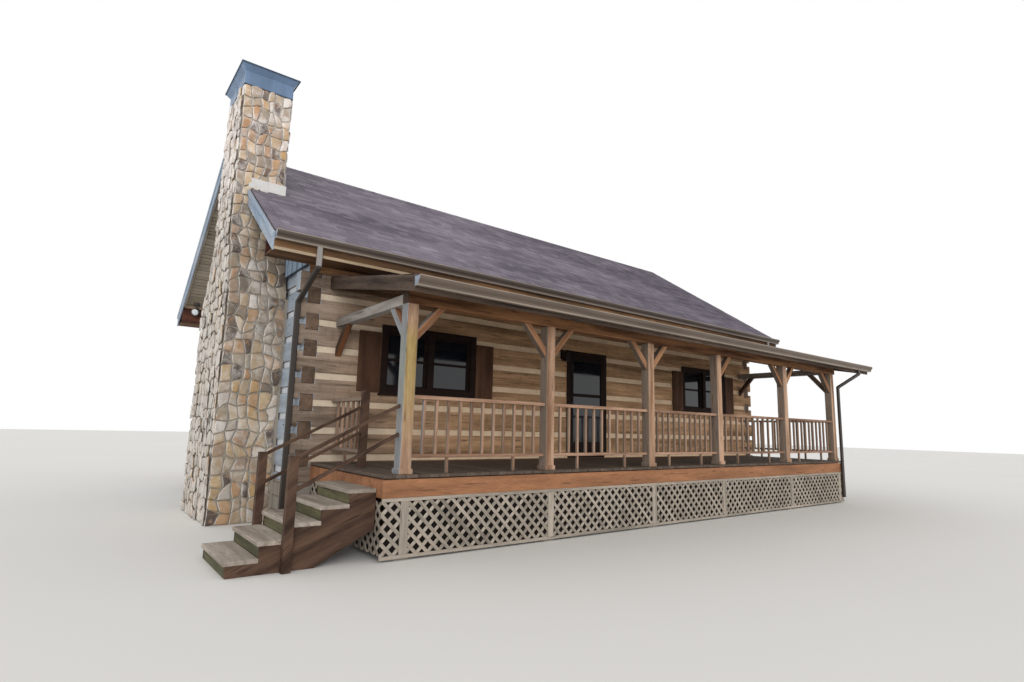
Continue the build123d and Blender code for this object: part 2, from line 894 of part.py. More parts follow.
def shutter_pair():
    """Board shutters flat on the wall beside the casing, with sunk panels."""
    pair = []
    inner = window_width / 2 + casing_width + shutter_gap
    low = shutter_top - shutter_height
    face = front_face - shutter_thickness
    for x0, x1 in ((-inner - shutter_width, -inner), (inner, inner + shutter_width)):
        leaf = block(x0, x1, face, front_face, low, shutter_top)
        pair.append(leaf - block(x0 + shutter_stile, x1 - shutter_stile, face, face + shutter_thickness / 3,
                                 low + shutter_stile, shutter_top - shutter_stile))
    return pair


def windows():
    back = Pos(0, back_line, 0) * Rot(0, 0, 180)
    places = [Pos(window_left_x, 0, 0), Pos(window_right_x, 0, 0),
              back * Pos(-back_window_x, 0, 0), back * Pos(back_window_x, 0, 0)]
    frame, panes, shutters = double_window(), window_panes(), shutter_pair()
    save("window_frames", [place * frame for place in places])
    save("window_glass", [place * pane for place in places for pane in panes])
    save("window_shutters", [place * leaf for place in places for leaf in shutters])


def wall_lantern():
    """Carriage lantern beside the door: back plate, arm, body and roof."""
    x = door_span[0] - lantern_from_door
    z = deck_height + lantern_height
    y = front_face - lantern_arm
    plate = block(x - 45, x + 45, front_face - lantern_plate, front_face, z - 130, z + 60)
    plate += block(x - 10, x + 10, y, front_face - lantern_plate, z, z + 20)
    plate += Pos(x, y, z - lantern_body_height / 2) * Box(lantern_size, lantern_size, lantern_body_height)
    eave, peak = lantern_size * 1.3, lantern_size / 4
    roof = flared(x, y, z, z + lantern_roof_height, (eave, eave), (peak, peak))
    save("wall_lantern", [plate + roof])


# Porch floor and skirt

def porch_floor():
    deck = block(deck_left, deck_right, deck_front, front_face, deck_height - deck_thickness, deck_height)
    for index in range(post_count):
        x = post_x(index)
        deck -= block(x - post_size / 2, x + post_size / 2, post_front, post_back,
                      deck_height - deck_thickness, deck_height)
    save("porch_deck", [deck])


def porch_band():
    """Front band board and the end boards behind it."""
    z0, z1 = band_bottom, band_top
    save("porch_band_board", [
        block(deck_left, deck_right, band_face, post_front, z0, z1),
        block(deck_left, deck_left + band_thickness, post_front, front_face, z0, z1),
        block(deck_right - band_thickness, deck_right, post_front, front_face, z0, z1)])


def porch_joists():
    x0, x1 = deck_left + band_thickness, deck_right - band_thickness
    first, last = post_back + joist_width / 2, front_face - joist_width / 2
    joists = []
    for index in range(joist_count):
        y = first + (last - first) * index / (joist_count - 1)
        joists.append(block(x0, x1, y - joist_width / 2, y + joist_width / 2, joist_bottom,
                            deck_height - deck_thickness))
    save("porch_joists", joists)


def porch_supports():
    """Girders under the joists at each post, on piers."""
    girders, piers = [], []
    wall_end = front_face - girder_wall_gap
    half = pier_size / 2
    for index in range(post_count):
        x = post_x(index)
        girders.append(block(x - girder_width / 2, x + girder_width / 2, post_front, wall_end,
                             girder_bottom, joist_bottom))
        for y in (post_front + half, wall_end - half):
            piers.append(block(x - half, x + half, y - half, y + half, 0, girder_bottom))
    save("porch_girders", girders)
    save("porch_piers", piers)


def lattice_panel(length, height):
    """Crossed diagonal slats fused over the XZ plane from the origin, without loose corner offcuts."""
    step = lattice_pitch * math.sqrt(2)
    bars = []
    for lean in (-45, 45):
        x = -height / 2
        while x < length + height / 2:
            slat = Box(lattice_bar, lattice_thickness, 2 * height)
            bars.append(Pos(x, 0, height / 2) * Rot(0, lean, 0) * slat)
            x += step
    outline = Pos(length / 2, 0, height / 2) * Box(length, lattice_thickness, height)
    pieces = (bars[0].fuse(*bars[1:]) & outline).solids()
    return max(pieces, key=lambda piece: piece.volume)


skirt_back = band_face + skirt_strip_thickness - skirt_proud
lattice_low, lattice_high = skirt_bottom, band_bottom - skirt_strip_height


def skirt_trim():
    """Strips under the band board and near the ground, and stiles under the posts."""
    y0 = band_face - skirt_proud
    save("skirt_strips", [
        block(deck_left, deck_right, y0, skirt_back, band_bottom - skirt_strip_height, band_bottom),
        block(deck_left, deck_right, y0, skirt_back, skirt_bottom - skirt_strip_height, skirt_bottom)])
    half = skirt_stile_width / 2
    save("skirt_stiles", [block(post_x(index) - half, post_x(index) + half, y0, skirt_back,
                                lattice_low, lattice_high) for index in range(post_count)])


def lattice():
    half = skirt_stile_width / 2
    height = lattice_high - lattice_low
    y = skirt_back - lattice_thickness / 2
    panels = []
    for index in range(post_count - 1):
        left, right = post_x(index) + half, post_x(index + 1) - half
        panels.append(Pos(left, y, lattice_low) * lattice_panel(right - left, height))
    save("lattice_front", panels)
    end = Rot(0, 0, 90) * lattice_panel(front_face - post_front, height)
    inset = lattice_thickness
    save("lattice_ends", [Pos(x, post_front, lattice_low) * end
                          for x in (deck_left + inset, deck_right - inset)])


# Porch posts, beam and braces

def rafter_underside(y):
    return porch_roof_z(y) - porch_roof_thickness - rafter_height


def porch_posts():
    posts = []
    for index in range(post_count):
        x = post_x(index)
        post = block(x - post_size / 2, x + post_size / 2, post_front, post_back, joist_bottom,
                     beam_underside)
        plinth = Box(plinth_size, plinth_size, plinth_height)
        plinth = Pos(x, post_line, deck_height + plinth_height / 2) * plinth
        posts.append(post + plinth)
    save("porch_posts", posts)


def porch_beam():
    outline = [(post_front, beam_underside), (post_back, beam_underside),
               (post_back, rafter_underside(post_back)), (post_front, rafter_underside(post_front))]
    save("porch_beam", [drawn_along_x(outline, first_post_x - post_size / 2,
                                      last_post_x + post_size / 2 + beam_overrun)])


def porch_ties():
    half = tie_width / 2
    save("porch_tie_beams", [block(x - half, x + half, post_back, front_face, beam_underside,
                                   beam_underside + tie_height) for x in (first_post_x, last_post_x)])


def knee_brace():
    """Brace from a corner at the origin, down the post and out along +X, cut to both faces."""
    length = math.hypot(brace_run, brace_rise)
    slant, drop = brace_size * length / brace_rise, brace_size * length / brace_run
    outline = [(0, -brace_rise), (brace_run, 0), (brace_run - slant, 0), (0, drop - brace_rise)]
    return drawn_along_y(outline, -brace_size / 2, brace_size / 2)


def porch_braces():
    """Braces along the front at the posts, and under the tie beams at both ends."""
    brace = knee_brace()
    to_right, to_left = Rot(0, 0, 0), Rot(0, 0, 180)
    braces = []
    for index in range(post_count):
        x = post_x(index)
        if index < post_count - 1:
            braces.append(Pos(x + post_size / 2, post_line, beam_underside) * to_right * brace)
        if index > 0 and index != 3:
            braces.append(Pos(x - post_size / 2, post_line, beam_underside) * to_left * brace)
    for x in (first_post_x, last_post_x):
        braces.append(Pos(x, post_back, beam_underside) * Rot(0, 0, 90) * brace)
        braces.append(Pos(x, front_face, beam_underside) * Rot(0, 0, -90) * brace)
    save("porch_knee_braces", braces)


# Porch roof

def porch_roof():
    outline = [(y, porch_roof_z(y)) for y in (porch_eave_y, front_face)]
    outline += [(y, porch_roof_z(y) - porch_roof_thickness) for y in (front_face, porch_eave_y)]
    save("porch_roof", [drawn_along_x(outline, porch_roof_left, porch_roof_right)])


def porch_rafters():
    wall_end = front_face - ledger_thickness
    outline = [(y, porch_roof_z(y) - porch_roof_thickness) for y in (porch_eave_y, wall_end)]
    outline += [(y, rafter_underside(y)) for y in (wall_end, porch_eave_y)]
    run = porch_roof_right - porch_roof_left - rafter_width
    count = int(run / rafter_spacing)
    starts = [porch_roof_left + index * run / count for index in range(count + 1)]
    save("porch_rafters", [drawn_along_x(outline, x, x + rafter_width) for x in starts])
    ledger_top = porch_roof_z(wall_end) - porch_roof_thickness
    save("porch_ledger", [block(porch_roof_left, log_end_x, wall_end, front_face,
                                ledger_top - rafter_height - ledger_extra_depth, ledger_top)])


def porch_fascias():
    """Front board behind the gutter, and an end board up each side of the roof."""
    ends = (porch_eave_y, front_face)
    outline = [(y, porch_roof_z(y)) for y in ends]
    outline += [(y, porch_roof_z(y) - porch_fascia_depth) for y in reversed(ends)]
    top = porch_roof_z(porch_eave_y) - porch_fascia_drop
    left, right = porch_roof_left - porch_fascia_thickness, porch_roof_right + porch_fascia_thickness
    save("porch_fascias", [
        drawn_along_x(outline, left, porch_roof_left),
        drawn_along_x(outline, porch_roof_right, right),
        block(left, right, porch_fascia_face, porch_eave_y, top - porch_fascia_depth, top)])


# Railing

def rail_panel(length, balusters):
    """Rails and balusters of one bay, from the origin along +X, with two balusters down to the deck."""
    low, top = bottom_rail_rise, rail_height
    half, half_rail = baluster_size / 2, bottom_rail_width / 2
    panel = block(0, length, -top_rail_width / 2, top_rail_width / 2, top - top_rail_height, top)
    parts = [block(0, length, -half_rail, half_rail, low, low + bottom_rail_height)]
    for index in range(balusters):
        x = length * (index + 1) / (balusters + 1)
        to_deck = index in (long_baluster, balusters - 1 - long_baluster)
        foot = 0 if to_deck else low + bottom_rail_height
        parts.append(block(x - half, x + half, -half, half, foot, top - top_rail_height))
    return panel.fuse(*parts)


def porch_railings():
    """Panels between the front posts, at the right end, and from the steps to the wall."""
    panels = []
    for index in range(post_count - 1):
        x0, x1 = post_x(index) + post_size / 2, post_x(index + 1) - post_size / 2
        panels.append(Pos(x0, post_line, deck_height) * rail_panel(x1 - x0, baluster_count))
    back = Rot(0, 0, 90)
    right = rail_panel(front_face - post_back, baluster_count)
    panels.append(Pos(last_post_x, post_back, deck_height) * back * right)
    newel_back = stair_far + step_post_size
    left = rail_panel(front_face - newel_back, short_baluster_count)
    panels.append(Pos(first_post_x, newel_back, deck_height) * back * left)
    save("porch_railings", panels)


# Steps up to the left end of the porch

step_count = riser_count - 1
stair_foot = deck_left - step_count * tread_run


def tread_top(index):
    """Top of a tread, counted down from the deck."""
    return deck_height - (index + 1) * riser_height


def treads_and_risers():
    treads, risers = [], []
    for index in range(step_count):
        z = tread_top(index)
        back = deck_left - index * tread_run
        front = back - tread_run
        treads.append(block(front - tread_nose, back, stair_near, stair_far, z - tread_thickness, z))
        foot = max(z - riser_height, 0)
        risers.append(block(front, front + riser_thickness, stair_near + stringer_width,
                            stair_far - stringer_width, foot, z - tread_thickness))
    save("step_treads", treads)
    save("step_risers", risers)


def stringer_outline():
    """Saw-toothed top under the treads and a straight underside."""
    outline = [(stair_foot, 0)]
    for index in reversed(range(step_count)):
        z = tread_top(index) - tread_thickness
        outline.append((deck_left - (index + 1) * tread_run, z))
        outline.append((deck_left - index * tread_run, z))
    low = tread_top(0) - tread_thickness - riser_height - stringer_depth
    outline.append((deck_left, low))
    outline.append((deck_left - low * tread_run / riser_height, 0))
    return outline


def stringers():
    sides = (stair_near, stair_far - stringer_width)
    save("step_stringers", [drawn_along_y(stringer_outline(), y, y + stringer_width) for y in sides])


def sloped_bar(x0, x1, top_z, y):
    """A bar that falls with the steps from x1 down to x0."""
    slope = riser_height / tread_run
    low = top_z - slope * (x1 - x0)
    height = step_rail_height
    return drawn_along_y([(x0, low), (x1, top_z), (x1, top_z + height), (x0, low + height)], y,
                         y + step_rail_width)


def step_rail(y, end_x):
    """Square foot post with an upper and a lower sloped bar up to the porch."""
    foot_x = deck_left - step_post_setback
    half = step_post_size / 2
    top_z = deck_height + step_rail_rise
    slope = riser_height / tread_run
    post_top = top_z - slope * (end_x - foot_x) + step_post_cap
    rail_y = y + (step_post_size - step_rail_width) / 2
    post = block(foot_x - half, foot_x + half, y, y + step_post_size, 0, post_top)
    post += sloped_bar(foot_x + half, end_x, top_z, rail_y)
    return post + sloped_bar(foot_x + half, end_x, top_z - step_lower_rail_drop, rail_y)


def step_rails():
    half = step_post_size / 2
    near = step_rail(stair_near - step_post_size, first_post_x - post_size / 2)
    far = step_rail(stair_far, first_post_x - half)
    far += block(first_post_x - half, first_post_x + half, stair_far, stair_far + step_post_size,
                 deck_height, deck_height + newel_height)
    save("step_rails", [near, far])


os.makedirs("parts", exist_ok=True)
foundation()
house_floor()
front_wall()
back_wall()
gable_walls()
chinking()
gable_siding()
main_roof()
ridge_cap()
rake_boards()
eave_fascias()
soffits()
chimney()
chimney_cap()
chimney_flashing()
gutters()
downspouts()
door_frame()
door_threshold()
door_leaf()
hinge_pins()
door_hardware()
windows()
wall_lantern()
porch_floor()
porch_band()
porch_joists()
porch_supports()
skirt_trim()
lattice()
porch_posts()
porch_beam()
porch_ties()
porch_braces()
porch_roof()
porch_rafters()
porch_fascias()
porch_railings()
treads_and_risers()
stringers()
step_rails()
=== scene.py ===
import math
import random

import bpy
import numpy as np
from bpy.props import FloatProperty, FloatVectorProperty, IntProperty, PointerProperty
from mathutils import Matrix, Vector, noise


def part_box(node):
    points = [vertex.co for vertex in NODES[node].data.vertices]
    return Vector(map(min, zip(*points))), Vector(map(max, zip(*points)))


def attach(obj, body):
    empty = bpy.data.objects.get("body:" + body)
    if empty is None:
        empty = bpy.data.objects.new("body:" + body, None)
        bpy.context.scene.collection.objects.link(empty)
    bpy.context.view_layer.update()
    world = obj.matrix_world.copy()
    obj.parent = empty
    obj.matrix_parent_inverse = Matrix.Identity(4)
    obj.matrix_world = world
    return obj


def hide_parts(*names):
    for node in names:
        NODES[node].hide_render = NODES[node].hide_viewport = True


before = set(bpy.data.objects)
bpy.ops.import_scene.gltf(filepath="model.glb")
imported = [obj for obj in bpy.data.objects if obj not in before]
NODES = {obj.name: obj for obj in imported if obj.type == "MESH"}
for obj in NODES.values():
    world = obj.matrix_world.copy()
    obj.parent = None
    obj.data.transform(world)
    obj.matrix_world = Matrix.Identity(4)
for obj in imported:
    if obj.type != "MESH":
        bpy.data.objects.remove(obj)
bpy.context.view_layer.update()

bl_info = {
    "name": "Log Cabin Dressing",
    "version": (1, 0, 0),
    "blender": (4, 5, 0),
    "location": "View3D > Sidebar > Cabin",
    "description": "Models and finishes the pieces of a hewn-log cabin over its fixed frame",
    "category": "Object",
}

ROOF_SLOPE = 2 / 3
ROOF_ANGLE = math.atan(ROOF_SLOPE)
ROOF_THICKNESS = 0.09
# How far the main roof's underside lies straight below its top
ROOF_DROP = ROOF_THICKNESS / math.cos(ROOF_ANGLE)
PORCH_SLOPE = 0.19


def srgb(code):
    """A written colour as linear red, green and blue."""
    values = [int(code[i:i + 2], 16) / 255 for i in (0, 2, 4)]
    return tuple(v / 12.92 if v <= 0.04045 else ((v + 0.055) / 1.055) ** 2.4 for v in values)


def color_prop(name, description, code):
    return FloatVectorProperty(name=name, description=description, subtype="COLOR", size=3, min=0, max=1,
                               default=srgb(code))


def length_prop(name, description, default):
    return FloatProperty(name=name, description=description, default=default, unit="LENGTH", min=0)


class LogWallSettings(bpy.types.PropertyGroup):
    wall_light: color_prop("Wall log light", "Pale streaks of the front and back logs", "b8a391")
    wall_dark: color_prop("Wall log dark", "Dark streaks of the front and back logs", "766556")
    # The gable log colour is painted skylight: the blue-grey of the side faces in shade lit by the sky
    gable_skylit: color_prop("Gable log light", "Pale streaks of the weathered gable logs", "b3bfcc")
    mortar: color_prop("Chinking", "Mortar bands between the logs", "e3d2bb")
    arris: length_prop("Arris", "Width of the worn edges of a log", 0.012)
    log_end: color_prop("Gable log end", "Dark end grain of the gable logs", "7b6554")
    waver: length_prop("Waver", "Depth of the axe work on a log's faces", 0.012)
    cut_spacing: length_prop("Cut spacing", "Distance between axe cuts along a log", 0.24)
    siding_light: color_prop("Siding", "Painted boards of the gables", "a4b9cf")
    batten_spacing: length_prop("Batten spacing", "Distance between siding battens", 0.25)
    batten_width: length_prop("Batten width", "Width of a siding batten", 0.05)
    batten_depth: length_prop("Batten depth", "Thickness of a siding batten", 0.02)


class RoofSettings(bpy.types.PropertyGroup):
    shingle_light: color_prop("Shingle light", "Palest shingle tabs", "a29aa4")
    shingle_dark: color_prop("Shingle dark", "Darkest shingle tabs", "645d69")
    exposure: length_prop("Exposure", "Height of a course that shows", 0.14)
    tab_width: length_prop("Tab width", "Middle width of a shingle tab", 0.3)
    tab_thickness: length_prop("Tab thickness", "Thickness of a tab's lower edge", 0.009)
    rake_paint: color_prop("Rake boards", "Painted boards at the roof ends", "d2dbe7")
    fascia_wood: color_prop("Fascia", "Natural boards behind the gutters", "9a7350")
    soffit_wood: color_prop("Soffit", "Boards under the roof edges", "c3b199")
    soffit_board: length_prop("Soffit board", "Width of a board across the rake soffit", 0.1)
    gutter_metal: color_prop("Gutter", "Enamelled gutters of the main roof", "544940")
    porch_gutter: color_prop("Porch gutter", "Enamelled gutter of the porch", "6a5c50")
    # The pale lip colour is a painted highlight along the rolled lips
    gutter_lip: color_prop("Gutter lip", "Pale rolled lips of the gutters", "b3a596")
    pipe_top: color_prop("Downspout top", "Pale upper lengths of the downspouts", "96918d")
    pipe_low: color_prop("Downspout foot", "Dark lower lengths of the downspouts", "3b342f")
    cap_metal: color_prop("Chimney cap", "Sheet metal of the chimney cap", "7089a9")


class StoneSettings(bpy.types.PropertyGroup):
    stone_tan: color_prop("Tan stone", "Main tone of the fieldstones", "b9a68c")
    stone_pale: color_prop("Pale stone", "Palest fieldstones", "ddd7d0")
    stone_dark: color_prop("Dark stone", "Darkest fieldstones", "6b6059")
    mortar: color_prop("Stone mortar", "Joints between the fieldstones", "a89f92")
    stone_width: length_prop("Stone width", "Middle width of a fieldstone", 0.27)
    row_height: length_prop("Row height", "Middle height of a fieldstone", 0.19)
    joint: length_prop("Joint", "Half of a mortar joint", 0.004)
    relief: length_prop("Relief", "How far a stone stands out of its joint", 0.02)


class PorchSettings(bpy.types.PropertyGroup):
    timber_light: color_prop("Porch timber light", "Pale streaks of posts, beam and braces", "e0ba9c")
    timber_dark: color_prop("Porch timber dark", "Dark streaks of posts, beam and braces", "8f684c")
    # The shaded side colour is painted shade on the side faces of the porch timbers
    weathered: color_prop("Weathered side", "Grey faces of the porch timbers", "9c8a7b")
    # The skylit colour is painted skylight on the side faces of the first post and its braces
    skylit: color_prop("Bleached side", "Grey faces of the first post and its braces", "9b9c9f")
    deck_wood: color_prop("Deck boards", "Boards of the porch floor", "75665a")
    band_wood: color_prop("Band board", "Stained board round the porch floor", "c48a63")
    lattice_wood: color_prop("Lattice", "Slats and strips of the skirt", "cbbeae")
    board_width: length_prop("Deck board", "Width of a deck board with its gap", 0.145)
    lattice_pitch: length_prop("Lattice pitch", "Square distance between slats", 0.105)
    slat_width: length_prop("Slat width", "Width of a lattice slat", 0.041)
    slat_thickness: length_prop("Slat thickness", "Thickness of a lattice slat", 0.007)
    first_post: FloatProperty(name="First post", description="Place of the first post along the front",
                              default=-5.457, unit="LENGTH")
    bay: length_prop("Bay", "Distance between porch posts", 2.2022)
    fourth_shift: FloatProperty(name="Fourth post shift", default=-0.24, unit="LENGTH",
                                description="How far the fourth post stands off its bay")
    post_size: length_prop("Post size", "Side of a porch post", 0.15)
    baluster: length_prop("Baluster", "Side of a railing baluster", 0.036)
    rail_rise: length_prop("Bottom rail", "Height of the bottom rail over the deck", 0.182)
    baluster_count: IntProperty(name="Balusters", description="Balusters in a bay", default=11, min=1)


class OpeningSettings(bpy.types.PropertyGroup):
    joinery: color_prop("Joinery", "Dark stained frames, door and sashes", "2f1d15")
    shutter: color_prop("Shutters", "Dark stained shutters", "72503b")
    glass: color_prop("Glass", "Panes of the windows and the door", "10141a")
    metal: color_prop("Fittings", "Dark metal of the lantern and the knobs", "2b2724")


class StageSettings(bpy.types.PropertyGroup):
    floor_color: color_prop("Floor", "Pale studio floor", "e6e4e0")
    lens: FloatProperty(name="Lens", description="Focal length of the camera", default=20.1, min=1)
    lamp_power: FloatProperty(name="Lamp strength", description="Strength of the soft key lamp",
                              default=1.35, min=0)
    world_power: FloatProperty(name="Sky strength", description="Strength of the even light all round",
                               default=0.75, min=0)


SETTINGS = {
    "cabin_logs": LogWallSettings,
    "cabin_roof": RoofSettings,
    "cabin_stone": StoneSettings,
    "cabin_porch": PorchSettings,
    "cabin_openings": OpeningSettings,
    "cabin_stage": StageSettings,
}


# Modelling helpers

def deselect():
    if bpy.context.mode != "OBJECT":
        bpy.ops.object.mode_set(mode="OBJECT")
    bpy.ops.object.select_all(action="DESELECT")


def choose(*objects):
    """Selects these objects and no others, with the first one active."""
    deselect()
    for obj in objects:
        obj.select_set(True)
    bpy.context.view_layer.objects.active = objects[0]


def enter_edit(obj, action="SELECT"):
    """Opens a shape with all of it selected, or nothing."""
    choose(obj)
    bpy.ops.object.mode_set(mode="EDIT")
    bpy.ops.mesh.select_all(action=action)


def leave_edit():
    bpy.ops.object.mode_set(mode="OBJECT")


def enter_edit_on(obj, kind, test):
    """Opens a shape with only those vertices or polygons selected that pass a test."""
    enter_edit(obj, "DESELECT")
    leave_edit()
    for item in getattr(obj.data, kind):
        item.select = bool(test(item))
    choose(obj)
    bpy.ops.object.mode_set(mode="EDIT")


def settle(obj):
    """Puts a piece's place into its mesh."""
    choose(obj)
    bpy.ops.object.transform_apply(location=True, rotation=True, scale=True)


def shape(kind, name, **place):
    """Adds one primitive by itself, at its size and place, and names it."""
    deselect()
    scale = place.pop("scale", (1, 1, 1))
    getattr(bpy.ops.mesh, f"primitive_{kind}_add")(**place)
    obj = bpy.context.object
    obj.name = obj.data.name = name
    obj.scale = scale
    settle(obj)
    return obj


def modify(obj, kind, **values):
    """Adds a modifier and applies it."""
    choose(obj)
    bpy.ops.object.modifier_add(type=kind)
    modifier = obj.modifiers[-1]
    for key, value in values.items():
        setattr(modifier, key, value)
    bpy.ops.object.modifier_apply(modifier=modifier.name)


def eased(obj, width, segments=1, angle=40):
    """Bevels the edges that turn by more than an angle in degrees."""
    modify(obj, "BEVEL", width=width, segments=segments, limit_method="ANGLE",
           angle_limit=math.radians(angle))


def in_a_row(obj, count, step):
    """Repeats a shape, each copy a step further on."""
    modify(obj, "ARRAY", count=count, use_relative_offset=False, use_constant_offset=True,
           constant_offset_displace=step)


def clouded(obj, name, cloud_size, strength, middle):
    """Moves a surface in and out by soft noise."""
    texture = bpy.data.textures.new(name, "CLOUDS")
    texture.noise_scale = cloud_size
    modify(obj, "DISPLACE", texture=texture, strength=strength, mid_level=middle, texture_coords="GLOBAL")


def board(name, low, high, edge=0.003, segments=1):
    """A squared board between two corners with its edges eased."""
    low, high = Vector(low), Vector(high)
    obj = shape("cube", name, size=1, location=(low + high) / 2, scale=high - low)
    enter_edit(obj)
    bpy.ops.mesh.bevel(offset=edge, segments=segments, affect="EDGES")
    leave_edit()
    return obj


def joined(name, objects):
    choose(*objects)
    if len(objects) > 1:
        bpy.ops.object.join()
    obj = bpy.context.object
    obj.name = obj.data.name = name
    return obj


def twin(obj, name, matrix):
    """A copy of a shape with its own mesh, placed by a matrix."""
    copy = bpy.data.objects.new(name, obj.data.copy())
    bpy.context.scene.collection.objects.link(copy)
    copy.matrix_world = matrix
    return copy


def copied(obj, matrix):
    """A copy with its place put into its mesh."""
    copy = twin(obj, obj.name, matrix)
    settle(copy)
    return copy


def placed(obj, matrix):
    """Moves a shape by a matrix and puts its place into its mesh."""
    obj.matrix_world = matrix
    settle(obj)
    return obj


def repeated(obj, name, matrices):
    """Copies of one modelled shape, joined in one piece."""
    copies = [twin(obj, name, matrix) for matrix in matrices]
    bpy.context.view_layer.update()
    bpy.data.objects.remove(obj)
    piece = joined(name, copies)
    settle(piece)
    return piece


def sliced(obj, point, normal):
    """Adds edges where a plane passes through a shape."""
    enter_edit(obj)
    bpy.ops.mesh.bisect(plane_co=point, plane_no=normal)
    leave_edit()


def trimmed(obj, point, normal):
    """Cuts away what lies beyond a plane, on the side its normal points to."""
    enter_edit(obj)
    bpy.ops.mesh.bisect(plane_co=point, plane_no=normal, clear_outer=True, use_fill=True)
    leave_edit()


def faced_outward(obj):
    """Turns a closed shape's faces outward."""
    enter_edit(obj)
    bpy.ops.mesh.normals_make_consistent(inside=False)
    leave_edit()


def taken(name, *nodes):
    """A workable copy of CAD nodes, with its facets merged into flat faces."""
    parts = []
    for node in nodes:
        part = bpy.data.objects.new(name, NODES[node].data.copy())
        bpy.context.scene.collection.objects.link(part)
        parts.append(part)
    obj = joined(name, parts)
    obj.data.materials.clear()
    enter_edit(obj)
    bpy.ops.mesh.customdata_custom_splitnormals_clear()
    bpy.ops.mesh.remove_doubles(threshold=0.00005)
    bpy.ops.mesh.dissolve_limited(angle_limit=math.radians(0.5))
    bpy.ops.mesh.normals_make_consistent(inside=False)
    leave_edit()
    return obj


def island_labels(mesh):
    """A number for each vertex that tells which loose part it belongs to."""
    edges = np.empty(len(mesh.edges) * 2, int)
    mesh.edges.foreach_get("vertices", edges)
    first, second = edges.reshape(-1, 2).T
    labels = np.arange(len(mesh.vertices))
    while True:
        lowest = np.minimum(labels[first], labels[second])
        fresh = labels.copy()
        np.minimum.at(fresh, first, lowest)
        np.minimum.at(fresh, second, lowest)
        fresh = fresh[fresh]
        if (fresh == labels).all():
            return np.unique(labels, return_inverse=True)[1]
        labels = fresh


def mark_grain(obj, seed):
    """Gives each loose part its own grain direction and tone for the materials."""
    mesh = obj.data
    count = len(mesh.vertices)
    points = np.empty(count * 3, np.float32)
    mesh.vertices.foreach_get("co", points)
    points = points.reshape(-1, 3)
    labels = island_labels(mesh)
    order = np.argsort(labels, kind="stable")
    starts = np.searchsorted(labels[order], np.arange(labels.max() + 2))
    dice = np.random.default_rng(seed)
    grain = np.zeros((count, 3), np.float32)
    tone = np.zeros(count, np.float32)
    for index in range(labels.max() + 1):
        part = order[starts[index]:starts[index + 1]]
        local = points[part] - points[part].mean(0)
        axes = np.linalg.svd(local, full_matrices=False)[2] if len(part) > 3 else np.eye(3)
        grain[part] = local @ axes.T + dice.uniform(-40, 40, 3)
        tone[part] = dice.random()
    layer = mesh.attributes.new("grain", "FLOAT_VECTOR", "POINT")
    layer.data.foreach_set("vector", grain.ravel())
    layer = mesh.attributes.new("tone", "FLOAT", "POINT")
    layer.data.foreach_set("value", tone)


def smooth(obj, degrees=40):
    choose(obj)
    bpy.ops.object.shade_smooth_by_angle(angle=math.radians(degrees))


def finished(obj, material, slot, body="cabin", replaces=()):
    """Gives a piece its material and its body."""
    settle(obj)
    obj.data.materials.clear()
    obj.data.materials.append(material)
    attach(obj, body)
    if replaces:
        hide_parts(*replaces)
    return obj


def assembled(name, shapes, material, slot, seed=None, replaces=()):
    """Joins shapes in one finished piece, grained where it has a seed."""
    piece = joined(name, shapes)
    if seed is not None:
        mark_grain(piece, seed)
    return finished(piece, material, slot, replaces=replaces)


def dress(material, *nodes):
    """Gives carried-over CAD nodes a material."""
    for node in nodes:
        mesh = NODES[node].data
        mesh.materials.clear()
        mesh.materials.append(material)


def timber(name, material, slot, nodes, edge, seed):
    """Eased and grained boards that stand for CAD nodes."""
    obj = taken(name, *nodes)
    eased(obj, edge)
    mark_grain(obj, seed)
    return finished(obj, material, slot, replaces=nodes)


# Material helpers

